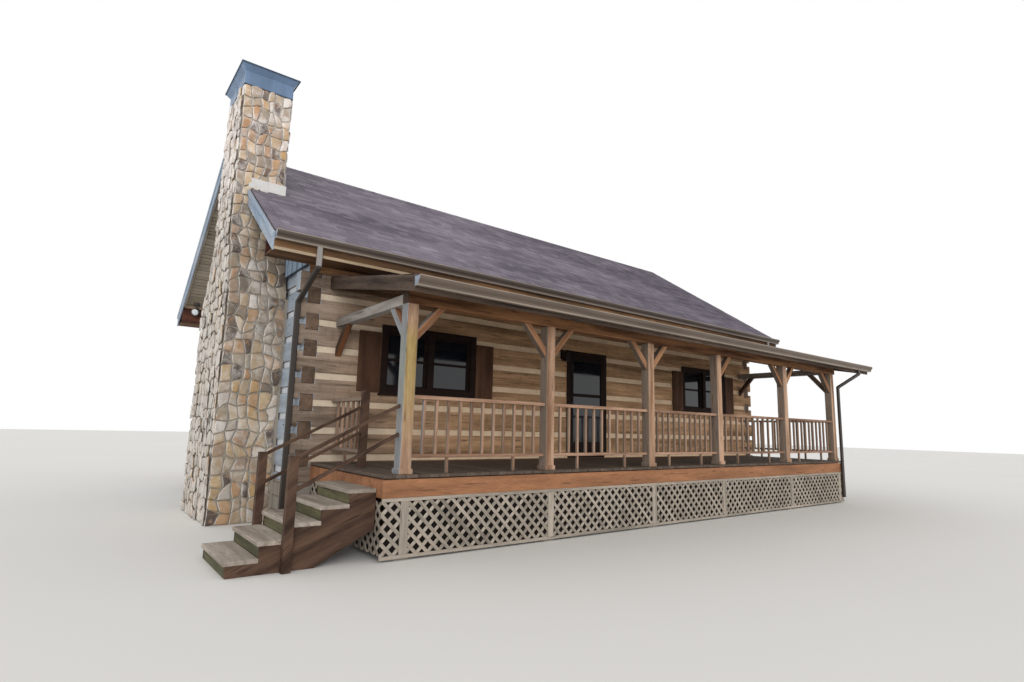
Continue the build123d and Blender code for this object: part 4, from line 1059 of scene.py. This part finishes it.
    def rake_strips(self):
        """Strips in the angle between the rake soffits and the gable boards, and along the rakes."""
        low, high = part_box("main_roof_front")
        siding_low, siding_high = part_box("gable_siding")
        length = (high.y - siding_low.y) / math.cos(ROOF_ANGLE)
        strips = []
        for x0, x1 in ((siding_low.x - 0.05, siding_low.x - 0.018),
                       (siding_high.x + 0.018, siding_high.x + 0.05),
                       (low.x + 0.002, low.x + 0.05), (high.x - 0.05, high.x - 0.002)):
            strip = board("rake_strip", (x0, 0, -0.045), (x1, length, 0))
            strips += self.under_both_slopes(strip, siding_low.y, 0.036)
        return strips

    def rake_boards_under(self, material):
        """Narrow boards across the underside of each rake overhang."""
        width, thickness, gap = settings("cabin_roof").soffit_board, 0.012, 0.012
        low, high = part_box("main_roof_front")
        siding_low, siding_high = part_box("gable_siding")
        count = int((high.y - low.y) / math.cos(ROOF_ANGLE) / width)
        pieces = []
        for x0, x1 in ((low.x, siding_low.x), (siding_high.x, high.x)):
            plank = board("plank", (x0, 0, -thickness), (x1, width - gap, 0))
            in_a_row(plank, count, (0, width, 0))
            pieces += self.under_both_slopes(plank, low.y, 0.0205)
        self.cut_at_chimney(pieces[0])
        assembled("rake_soffit_boards", pieces, material, "trim_boards", 12)

    def cut_at_chimney(self, piece):
        """Takes out the boards that would run into the chimney."""
        low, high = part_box("chimney_cap")
        mesh = piece.data
        labels = island_labels(mesh)
        middles = np.bincount(labels, [vertex.co.y for vertex in mesh.vertices]) / np.bincount(labels)
        enter_edit_on(piece, "polygons",
                      lambda face: low.y + 0.01 < middles[labels[face.vertices[0]]] < high.y - 0.01)
        bpy.ops.mesh.delete(type="FACE")
        leave_edit()


class CABIN_OT_chimney(CabinOperator):
    """Lays the fieldstones of the chimney and finishes its cap and flashing"""
    bl_idname = "cabin.chimney"
    bl_label = "Chimney"

    # Front and back of the stack's neck, over its shoulders
    NECK = (1.2, 2.3)
    # How far in from the stack's outer face the stones go, below the roof and above it
    DEPTH_BELOW = 0.85
    DEPTH_ABOVE = 0.75

    def course_block(self, name, rings, columns, rows, seed):
        """Stones over one stage of the stack, between a lower and an upper ring of corner points."""
        stone = settings("cabin_stone")
        low_ring, high_ring = rings
        total = sum(columns)
        obj = shape("grid", name, x_subdivisions=total, y_subdivisions=rows, size=1)
        dice = random.Random(seed)
        corners = [sum(columns[:index]) for index in range(len(columns) + 1)]

        def spot(column, row):
            """Where a point of the flat grid lies on the stack."""
            side = max(index for index in range(len(columns)) if corners[index] <= column + 1e-9)
            share = (column - corners[side]) / columns[side]
            next_side = (side + 1) % len(low_ring)
            foot = low_ring[side].lerp(low_ring[next_side], share)
            head = high_ring[side].lerp(high_ring[next_side], share)
            return foot.lerp(head, row / rows)

        for vertex in obj.data.vertices:
            column = round((vertex.co.x + 0.5) * total)
            row = round((vertex.co.y + 0.5) * rows)
            shift = 0 if column in corners else dice.uniform(-0.36, 0.36)
            rise = 0 if row in (0, rows) else dice.uniform(-0.34, 0.34)
            vertex.co = spot(column + shift, row + rise)
        labels = {}
        for polygon in obj.data.polygons:
            row, column = divmod(polygon.index, total)
            labels[polygon.index] = (row, (column + row) // 2)
        tall_share = 0.16
        merges = {}
        for key in sorted(set(labels.values())):
            if dice.random() < tall_share and key not in merges.values():
                merges[key] = (key[0] + 1, key[1])
        owners = {}
        for polygon in obj.data.polygons:
            label = labels[polygon.index]
            for key in polygon.edge_keys:
                owners.setdefault(key, set()).add(merges.get(label, label))
        for edge in obj.data.edges:
            edge.use_edge_sharp = edge.select = len(owners[edge.key]) > 1
        choose(obj)
        bpy.ops.object.mode_set(mode="EDIT")
        bpy.ops.mesh.select_mode(type="EDGE")
        bpy.ops.mesh.edge_split(type="EDGE")
        bpy.ops.mesh.select_mode(type="FACE")
        bpy.ops.mesh.select_all(action="SELECT")
        bpy.ops.mesh.flip_normals()
        bpy.ops.mesh.inset(thickness=stone.joint, use_boundary=True)
        bpy.ops.mesh.select_all(action="INVERT")
        bpy.ops.mesh.delete(type="FACE")
        bpy.ops.mesh.select_all(action="SELECT")
        bpy.ops.mesh.inset(thickness=stone.relief * 0.45, depth=stone.relief * 0.7, use_boundary=True)
        bpy.ops.mesh.inset(thickness=stone.relief * 1.2, depth=stone.relief * 0.3, use_boundary=True)
        leave_edit()
        return obj

    def stages(self):
        """The stones of the stack's wide foot, its shoulders, and its neck below and above the roof."""
        stone = settings("cabin_stone")
        low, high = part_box("chimney_stack")
        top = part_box("chimney_cap")[0].z
        wide, narrow = (low.y, high.y), self.NECK
        shoulder_low, shoulder_high, roof_low = 3.43, 4.43, 5.1

        def cells(length):
            return max(2, 2 * round(length / stone.stone_width))

        for seed, z0, z1, foot, head, depth in (
                (40, 0.0, shoulder_low, wide, wide, self.DEPTH_BELOW),
                (41, shoulder_low, shoulder_high, wide, narrow, self.DEPTH_BELOW),
                (42, shoulder_high, roof_low, narrow, narrow, self.DEPTH_BELOW),
                (43, roof_low, top, narrow, narrow, self.DEPTH_ABOVE)):
            outer, inner = low.x, low.x + depth
            across = cells(inner - outer)
            columns = [across, cells(foot[1] - foot[0]), across]
            if z0 == roof_low:
                columns.append(columns[1])
            rings = [[Vector((x, y, z)) for x, y in ((inner, y0), (outer, y0), (outer, y1), (inner, y1))]
                     for z, (y0, y1) in ((z0, foot), (z1, head))]
            rows = max(1, round((z1 - z0) / stone.row_height))
            yield self.course_block("stage", rings, columns, rows, seed)

    def execute(self, context):
        stone = settings("cabin_stone")
        cap_metal = settings("cabin_roof").cap_metal
        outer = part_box("chimney_stack")[0].x
        front = self.NECK[0]
        piece = joined("chimney_fieldstones", list(self.stages()))
        modify(piece, "SUBSURF", levels=1, render_levels=1, subdivision_type="SIMPLE")
        self.roughen(piece)
        enter_edit(piece)
        bpy.ops.mesh.vertices_smooth(factor=0.3)
        leave_edit()
        clouded(piece, "stone_faces", 0.05, 0.022, 0.45)
        for vertex in piece.data.vertices:
            vertex.co.z = max(vertex.co.z, 0.0)
        mark_grain(piece, 5)
        smooth(piece, 60)
        rock = stone_finish("fieldstone", stone.stone_tan, stone.stone_pale, stone.stone_dark)
        finished(piece, rock, "fieldstone")
        # Mortar grows paler up the stack as painted light
        dress(plaster("stone_mortar", stone.mortar, relief=0.01, painted_lighting=(2, 4.2, 5.8, (1.4, 1.4, 1.45))),
              "chimney_stack")
        dress(painted("cap_metal", cap_metal, 0.3, 0.35, (3, 3, 1)), "chimney_cap")
        rim_metal = painted("cap_rim_metal", scaled(cap_metal, 0.3), 0.3, 0.4)
        assembled("cap_rims", self.cap_edges(), rim_metal, "cap_metal")
        dress(painted("flashing_metal", srgb("6b6268"), 0.3, 0.6), "chimney_flashing")
        flashing_top = 5.416
        strip = board("counterflashing", (outer + 0.195, front - 0.034, flashing_top - 0.165),
                      (outer + self.DEPTH_ABOVE + 0.03, front + 0.002, flashing_top + 0.008), 0.004)
        bright = painted("counterflashing_metal", srgb("e0dedb"), 0.2, 0.45)
        assembled("counterflashing", [strip], bright, "flashing_metal", 6)
        return {"FINISHED"}

    def roughen(self, piece):
        """Bends the outline of each stone along its face, and sets it a little further out or in."""
        mesh = piece.data
        labels = island_labels(mesh)
        faces = [Vector() for _ in range(labels.max() + 1)]
        for polygon in mesh.polygons:
            faces[labels[polygon.vertices[0]]] += polygon.normal * polygon.area
        dice = random.Random(17)
        faces = [face.normalized() for face in faces]
        reach = [dice.uniform(-0.002, 0.016) * (2.0 if face.x < -0.8 else 1.0) for face in faces]
        for vertex, label in zip(mesh.vertices, labels):
            face = faces[label]
            bend = noise.noise_vector(vertex.co * 7.0) * 0.035 + noise.noise_vector(vertex.co * 18.0) * 0.014
            vertex.co += bend - face * bend.dot(face) + face * reach[label]

    def cap_edges(self):
        """Folded rims round the lid and the foot of the chimney cap, and a seam at both ends."""
        low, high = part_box("chimney_cap")
        reach, edge = 0.085, 0.008
        rims = []
        for inset, z0, z1, proud in ((0.0, high.z - 0.022, high.z - 0.001, 0.0),
                                     (reach, low.z, low.z + 0.016, 0.004)):
            x0, x1, y0, y1 = low.x + inset, high.x - inset, low.y + inset, high.y - inset
            rims += [board("rim", (x0 - proud, y0 - proud, z0), (x1 + proud, y0 + edge, z1)),
                     board("rim", (x0 - proud, y1 - edge, z0), (x1 + proud, y1 + proud, z1)),
                     board("rim", (x0 - proud, y0, z0), (x0 + edge, y1, z1)),
                     board("rim", (x1 - edge, y0, z0), (x1 + proud, y1, z1))]
        middle = (low.y + high.y) / 2
        for x in (low.x + reach, high.x - reach):
            rims.append(board("seam", (x - 0.003, middle - 0.01, low.z + 0.012),
                              (x + 0.003, middle + 0.01, low.z + 0.235), 0.002))
        return rims


class CABIN_OT_gutters(CabinOperator):
    """Rolls the moulded gutters and finishes the downspouts"""
    bl_idname = "cabin.gutters"
    bl_label = "Gutters"

    DEPTH = 0.118
    WIDTH = 0.12
    # Steps round a gutter from its back edge, outward and up, as shares of its width and depth
    PROFILE = ((0, -1), (0.62, 0), (0.04, 0.05), (0.06, 0.14), (0, 0.14), (0.06, 0.1), (0.14, 0.13),
               (0.06, 0.16), (0, 0.16), (0, 0.12), (-0.06, 0), (0, -0.08))

    def trough(self, x0, x1, back_y, outward, top_z):
        """One moulded trough, extruded strip by strip from its back edge."""
        gutter = shape("plane", "trough", size=1, location=((x0 + x1) / 2, back_y, top_z),
                       scale=(x1 - x0, 0.01, 1))
        for vertex in gutter.data.vertices:
            vertex.co.y = back_y
        enter_edit(gutter)
        bpy.ops.mesh.remove_doubles(threshold=0.0001)
        bpy.ops.mesh.select_mode(type="VERT")
        bpy.ops.mesh.select_all(action="SELECT")
        for across, rise in self.PROFILE:
            bpy.ops.mesh.extrude_region_move(TRANSFORM_OT_translate={
                "value": (0, outward * across * self.WIDTH, rise * self.DEPTH)})
        leave_edit()
        for end in (x0, x1):
            enter_edit_on(gutter, "vertices", lambda vertex: abs(vertex.co.x - end) < 0.001)
            bpy.ops.mesh.edge_face_add()
            leave_edit()
        modify(gutter, "SOLIDIFY", thickness=0.003, offset=0)
        # Marks the lips that take the painted highlight
        lips = gutter.data.attributes.new("lip", "FLOAT", "POINT")
        for vertex, lip in zip(gutter.data.vertices, lips.data):
            across = abs(vertex.co.y - back_y) / self.WIDTH
            rise = (vertex.co.z - top_z) / self.DEPTH
            if across > 0.9 and rise > -0.03:
                lip.value = 1.0
            elif 0.6 < across < 0.7 and rise < -0.9:
                lip.value = 0.9
        return gutter

    def execute(self, context):
        roof = settings("cabin_roof")
        low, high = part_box("eave_fascias")
        porch_low, porch_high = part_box("porch_fascias")
        porch_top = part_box("gutters")[0].z + self.DEPTH
        troughs = [self.trough(low.x, high.x, low.y, -1, high.z),
                   self.trough(low.x, high.x, high.y, 1, high.z),
                   self.trough(porch_low.x, porch_high.x, porch_low.y, -1, porch_top)]
        piece = joined("moulded_gutters", troughs)
        faced_outward(piece)
        smooth(piece, 30)
        # The lips and the end faces take painted highlights
        enamel = painted("gutter_enamel", roof.porch_gutter, 0.35, 0.4, (0.6, 6, 6), above=3.5,
                         upper=roof.gutter_metal, lip=roof.gutter_lip, ends=srgb("8f99a8"))
        finished(piece, enamel, "gutter_metal", replaces=("gutters",))
        pipe = painted("downspout_enamel", roof.pipe_low, 0.3, 0.4, (3, 3, 0.6), above=3.66,
                       upper=roof.pipe_top)
        timber("downspout_pipes", pipe, "gutter_metal", ("downspouts",), 0.012, 61)
        return {"FINISHED"}


class CABIN_OT_openings(CabinOperator):
    """Finishes windows, shutters, the door and the lantern"""
    bl_idname = "cabin.openings"
    bl_label = "Windows and door"

    def execute(self, context):
        opening = settings("cabin_openings")
        planed = {"checks": 0, "relief": 0.0015}
        dark = wood("dark_joinery", opening.joinery, scaled(opening.joinery, 0.4), **planed)
        leaf = wood("door_wood", opening.joinery, scaled(opening.joinery, 0.5), grain=False,
                    stretch=(8, 8, 0.6), **planed)
        shutter = wood("shutter_wood", opening.shutter, scaled(opening.shutter, 0.45), **planed)
        for name, material, node, seed in (("window_joinery", dark, "window_frames", 6),
                                           ("board_shutters", shutter, "window_shutters", 7),
                                           ("door_casing", dark, "door_frame", 8),
                                           ("door_sill", dark, "door_threshold", 8)):
            timber(name, material, "dark_joinery", (node,), 0.003, seed)
        dress(leaf, "door_leaf")
        dress(glass_finish("window_glass", opening.glass), "window_glass", "door_glass")
        metal = painted("lantern_metal", opening.metal, 0.3, 0.4, metallic=0.6)
        dress(metal, "wall_lantern", "door_hardware", "door_hinge_pins")
        return {"FINISHED"}


class CABIN_OT_porch_frame(CabinOperator):
    """Finishes posts, beam, braces, rafters and the boards of the porch roof"""
    bl_idname = "cabin.porch_frame"
    bl_label = "Porch frame"

    def execute(self, context):
        porch = settings("cabin_porch")
        hewn = {"skylit": porch.skylit, "corner": skylit_corner(), "relief": 0.003}
        # Side faces take painted shade colours, and before the corner a painted skylight colour
        post = wood("porch_timber", porch.timber_light, porch.timber_dark, porch.weathered,
                    lichen=(2.75, 2.5, 1.2, (0.95, 1.06, 0.64)), **hewn)
        # The braces darken towards the wall as painted shade
        brace = wood("brace_timber", srgb("cf9a72"), srgb("7d5438"), scaled(porch.weathered, 0.6),
                     painted_lighting=(1, -1.6, -0.8, (0.38, 0.3, 0.25)), **hewn)
        # The beam's third colour is painted shade on its side faces
        beam = wood("beam_timber", srgb("ab7a52"), srgb("593620"), srgb("4a3a2e"), contrast=1.2, relief=0.004)
        tie = wood("tie_timber", srgb("b9b2ab"), srgb("6d6660"), contrast=1.3, relief=0.003)
        rafter = wood("rafter_timber", srgb("8a6b50"), srgb("4d3726"))
        fascia = wood("porch_fascia_wood", srgb("6d5b4e"), srgb("32261f"), relief=0.003)
        under = wood("under_deck_wood", srgb("8c7358"), srgb("54412f"))
        for name, material, slot, nodes, edge, seed in (
                ("porch_posts_timber", post, "porch_timber", ("porch_posts",), 0.006, 11),
                ("porch_braces_timber", brace, "porch_timber", ("porch_knee_braces",), 0.005, 12),
                ("porch_beam_timber", beam, "porch_timber", ("porch_beam",), 0.008, 13),
                ("porch_ties_timber", tie, "porch_timber", ("porch_tie_beams",), 0.006, 14),
                ("porch_rafters_timber", rafter, "porch_timber", ("porch_rafters", "porch_ledger"), 0.004,
                 15),
                ("porch_fascia_boards", fascia, "trim_boards", ("porch_fascias",), 0.004, 16),
                ("porch_floor_frame", under, "porch_timber", ("porch_joists", "porch_girders"), 0.003, 17)):
            timber(name, material, slot, nodes, edge, seed)
        dress(plaster("pier_concrete", srgb("a39c92")), "porch_piers")
        return {"FINISHED"}


class CABIN_OT_porch_floor(CabinOperator):
    """Lays the deck boards and hangs the skirt with its lattice and near-black sheets behind it as painted
    shade
    """
    bl_idname = "cabin.porch_floor"
    bl_label = "Porch floor and skirt"

    def slats(self, name, length, height):
        """Two crossed layers of slats over an upright panel, from the origin along X."""
        porch = settings("cabin_porch")
        step = porch.lattice_pitch * math.sqrt(2)
        count = int((length + height) / step) + 2
        half, thickness = porch.slat_width / 2, porch.slat_thickness
        layers = []
        for lean, y in ((45, 0.0), (-45, -thickness)):
            slat = board("slat", (-half, y - thickness, -height), (half, y, height), 0.0015)
            slat.data.transform(Matrix.Translation((-height / 2, 0, height / 2))
                                @ Matrix.Rotation(math.radians(lean), 4, "Y"))
            in_a_row(slat, count, (step, 0, 0))
            layers.append(slat)
        panel = joined(name, layers)
        for point, normal in (((0, 0, 0), (-1, 0, 0)), ((length, 0, 0), (1, 0, 0)), ((0, 0, 0), (0, 0, -1)),
                              ((0, 0, height), (0, 0, 1))):
            trimmed(panel, point, normal)
        return panel

    def deck(self):
        """Boards across the porch with narrow gaps."""
        porch = settings("cabin_porch")
        low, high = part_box("porch_deck")
        gap = 0.005
        plank = board("plank", low, (low.x + porch.board_width - gap, high.y, high.z), 0.004)
        count = int((high.x - low.x) / porch.board_width) + 1
        in_a_row(plank, count, ((high.x - low.x + gap) / count, 0, 0))
        trimmed(plank, (high.x, 0, 0), (1, 0, 0))
        material = wood("deck_wood", porch.deck_wood, scaled(porch.deck_wood, 0.5))
        assembled("deck_planks", [plank], material, "deck_boards", 31, ("porch_deck",))

    def execute(self, context):
        porch = settings("cabin_porch")
        self.deck()
        band = wood("band_wood", porch.band_wood, scaled(porch.band_wood, 0.55))
        timber("band_boards", band, "band_board", ("porch_band_board",), 0.004, 32)
        skirt = wood("skirt_wood", porch.lattice_wood, scaled(porch.lattice_wood, 0.5))
        timber("skirt_strips_wood", skirt, "skirt_wood", ("skirt_strips", "skirt_stiles"), 0.002, 33)
        front_low, front_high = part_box("lattice_front")
        ends_low, ends_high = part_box("lattice_ends")
        left, right = (corner.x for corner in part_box("skirt_strips"))
        height = front_high.z - front_low.z
        panel = self.slats("front_lattice", right - left, height)
        placed(panel, Matrix.Translation((left, front_high.y, front_low.z)))
        assembled("front_lattice", [panel], skirt, "skirt_wood", 34, ("lattice_front",))
        inner = 2 * porch.slat_thickness
        panel = self.slats("end_lattice", ends_high.y - ends_low.y, height)
        quarter = Matrix.Rotation(math.radians(90), 4, "Z")
        sides = [copied(panel, Matrix.Translation((x, ends_low.y, ends_low.z)) @ quarter)
                 for x in (ends_low.x, ends_high.x - inner)]
        bpy.data.objects.remove(panel)
        # Painted shade: near-black sheets behind the lattice stand for the dark under the porch
        sheets = [board("sheet", (left + 0.03, front_high.y + 0.001, front_low.z + 0.01),
                        (right - 0.03, front_high.y + 0.005, front_high.z - 0.005), 0.001)]
        for x in (ends_low.x + inner + 0.001, ends_high.x - inner - 0.005):
            sheets.append(board("sheet", (x, ends_low.y + 0.03, ends_low.z + 0.01),
                                (x + 0.004, ends_high.y - 0.03, ends_high.z - 0.005), 0.001))
        shadow_sheet = plaster("backing_felt", srgb("171310"), relief=0.001, grain_scale=90)
        assembled("skirt_backing", sheets, shadow_sheet, "skirt_wood", 36)
        assembled("end_lattice", sides, skirt, "skirt_wood", 35, ("lattice_ends",))
        return {"FINISHED"}


class CABIN_OT_railings(CabinOperator):
    """Builds the porch railings from rails and balusters"""
    bl_idname = "cabin.railings"
    bl_label = "Railings"

    def panel(self, length, count):
        """Rails and balusters of one bay along X from the origin, with two balusters down to the deck."""
        porch = settings("cabin_porch")
        half = porch.baluster / 2
        low, high = porch.rail_rise, 0.914
        tall = sorted({2, count - 3})
        short = [index for index in range(count) if index not in tall]
        pieces = [board("top_rail", (0, -0.045, high - 0.045), (length, 0.045, high), 0.006, 2),
                  board("bottom_rail", (0, -0.03, low), (length, 0.03, low + 0.042), 0.004)]
        for foot, indices in ((low + 0.04, short), (0, tall)):
            stick = board("baluster", (-half, -half, foot), (half, half, high - 0.043))
            places = [Matrix.Translation((length * (index + 1) / (count + 1), 0, 0)) for index in indices]
            pieces.append(repeated(stick, "balusters", places))
        return joined("railing", pieces)

    def execute(self, context):
        porch = settings("cabin_porch")
        low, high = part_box("porch_railings")
        newel_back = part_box("step_rails")[1].y
        centers = post_centers()
        half = porch.post_size / 2
        line = low.y + 0.045
        quarter = Matrix.Rotation(math.radians(90), 4, "Z")
        panels = []
        for left, right in zip(centers, centers[1:]):
            panel = self.panel(right - left - 2 * half, porch.baluster_count)
            panels.append(placed(panel, Matrix.Translation((left + half, line, low.z))))
        for x, start, count in ((centers[-1], line + half, porch.baluster_count),
                                (centers[0], newel_back, 5)):
            panel = self.panel(high.y - start, count)
            panels.append(placed(panel, Matrix.Translation((x, start, low.z)) @ quarter))
        # Side faces take a painted shade colour, and before the corner a painted skylight colour
        rail = wood("railing_wood", srgb("c5a086"), srgb("86634e"), scaled(porch.weathered, 0.9),
                    skylit=porch.skylit, corner=skylit_corner())
        assembled("porch_railing_panels", panels, rail, "porch_timber", 41, ("porch_railings",))
        return {"FINISHED"}


class CABIN_OT_steps(CabinOperator):
    """Finishes the steps and their rails"""
    bl_idname = "cabin.steps"
    bl_label = "Steps"

    def execute(self, context):
        tread = wood("tread_wood", srgb("c9bcae"), srgb("8c7f72"), relief=0.003)
        riser = wood("mossy_wood", srgb("85815f"), srgb("504f38"), relief=0.003)
        rail = wood("step_rail_wood", srgb("6f5444"), srgb("3b2a20"))
        for name, material, node, edge, seed in (("step_tread_boards", tread, "step_treads", 0.006, 51),
                                                 ("step_riser_boards", riser, "step_risers", 0.003, 52),
                                                 ("step_stringer_boards", rail, "step_stringers", 0.004, 53),
                                                 ("step_rail_bars", rail, "step_rails", 0.004, 54)):
            timber(name, material, "step_wood", (node,), edge, seed)
        return {"FINISHED"}


OPERATORS = (CABIN_OT_stage, CABIN_OT_log_walls, CABIN_OT_siding, CABIN_OT_shingles, CABIN_OT_roof_trim,
             CABIN_OT_chimney, CABIN_OT_gutters, CABIN_OT_openings, CABIN_OT_porch_frame,
             CABIN_OT_porch_floor, CABIN_OT_railings, CABIN_OT_steps)


class CABIN_PT_panel(bpy.types.Panel):
    """Lists the cabin's pieces and their settings"""
    bl_idname = "CABIN_PT_panel"
    bl_label = "Log Cabin"
    bl_space_type = "VIEW_3D"
    bl_region_type = "UI"
    bl_category = "Cabin"

    def draw(self, context):
        for operator in OPERATORS:
            self.layout.operator(operator.bl_idname)
        for name, group in SETTINGS.items():
            box = self.layout.box()
            for key in group.__annotations__:
                box.prop(getattr(context.scene, name), key)


def register():
    for group in SETTINGS.values():
        bpy.utils.register_class(group)
    for name, group in SETTINGS.items():
        setattr(bpy.types.Scene, name, PointerProperty(type=group))
    for operator in OPERATORS:
        bpy.utils.register_class(operator)
    bpy.utils.register_class(CABIN_PT_panel)


def unregister():
    bpy.utils.unregister_class(CABIN_PT_panel)
    for operator in reversed(OPERATORS):
        bpy.utils.unregister_class(operator)
    for name in SETTINGS:
        delattr(bpy.types.Scene, name)
    for group in SETTINGS.values():
        bpy.utils.unregister_class(group)


def main():
    register()
    for operator in OPERATORS:
        group, name = operator.bl_idname.split(".")
        getattr(getattr(bpy.ops, group), name)()


if __name__ == "__main__":
    main()
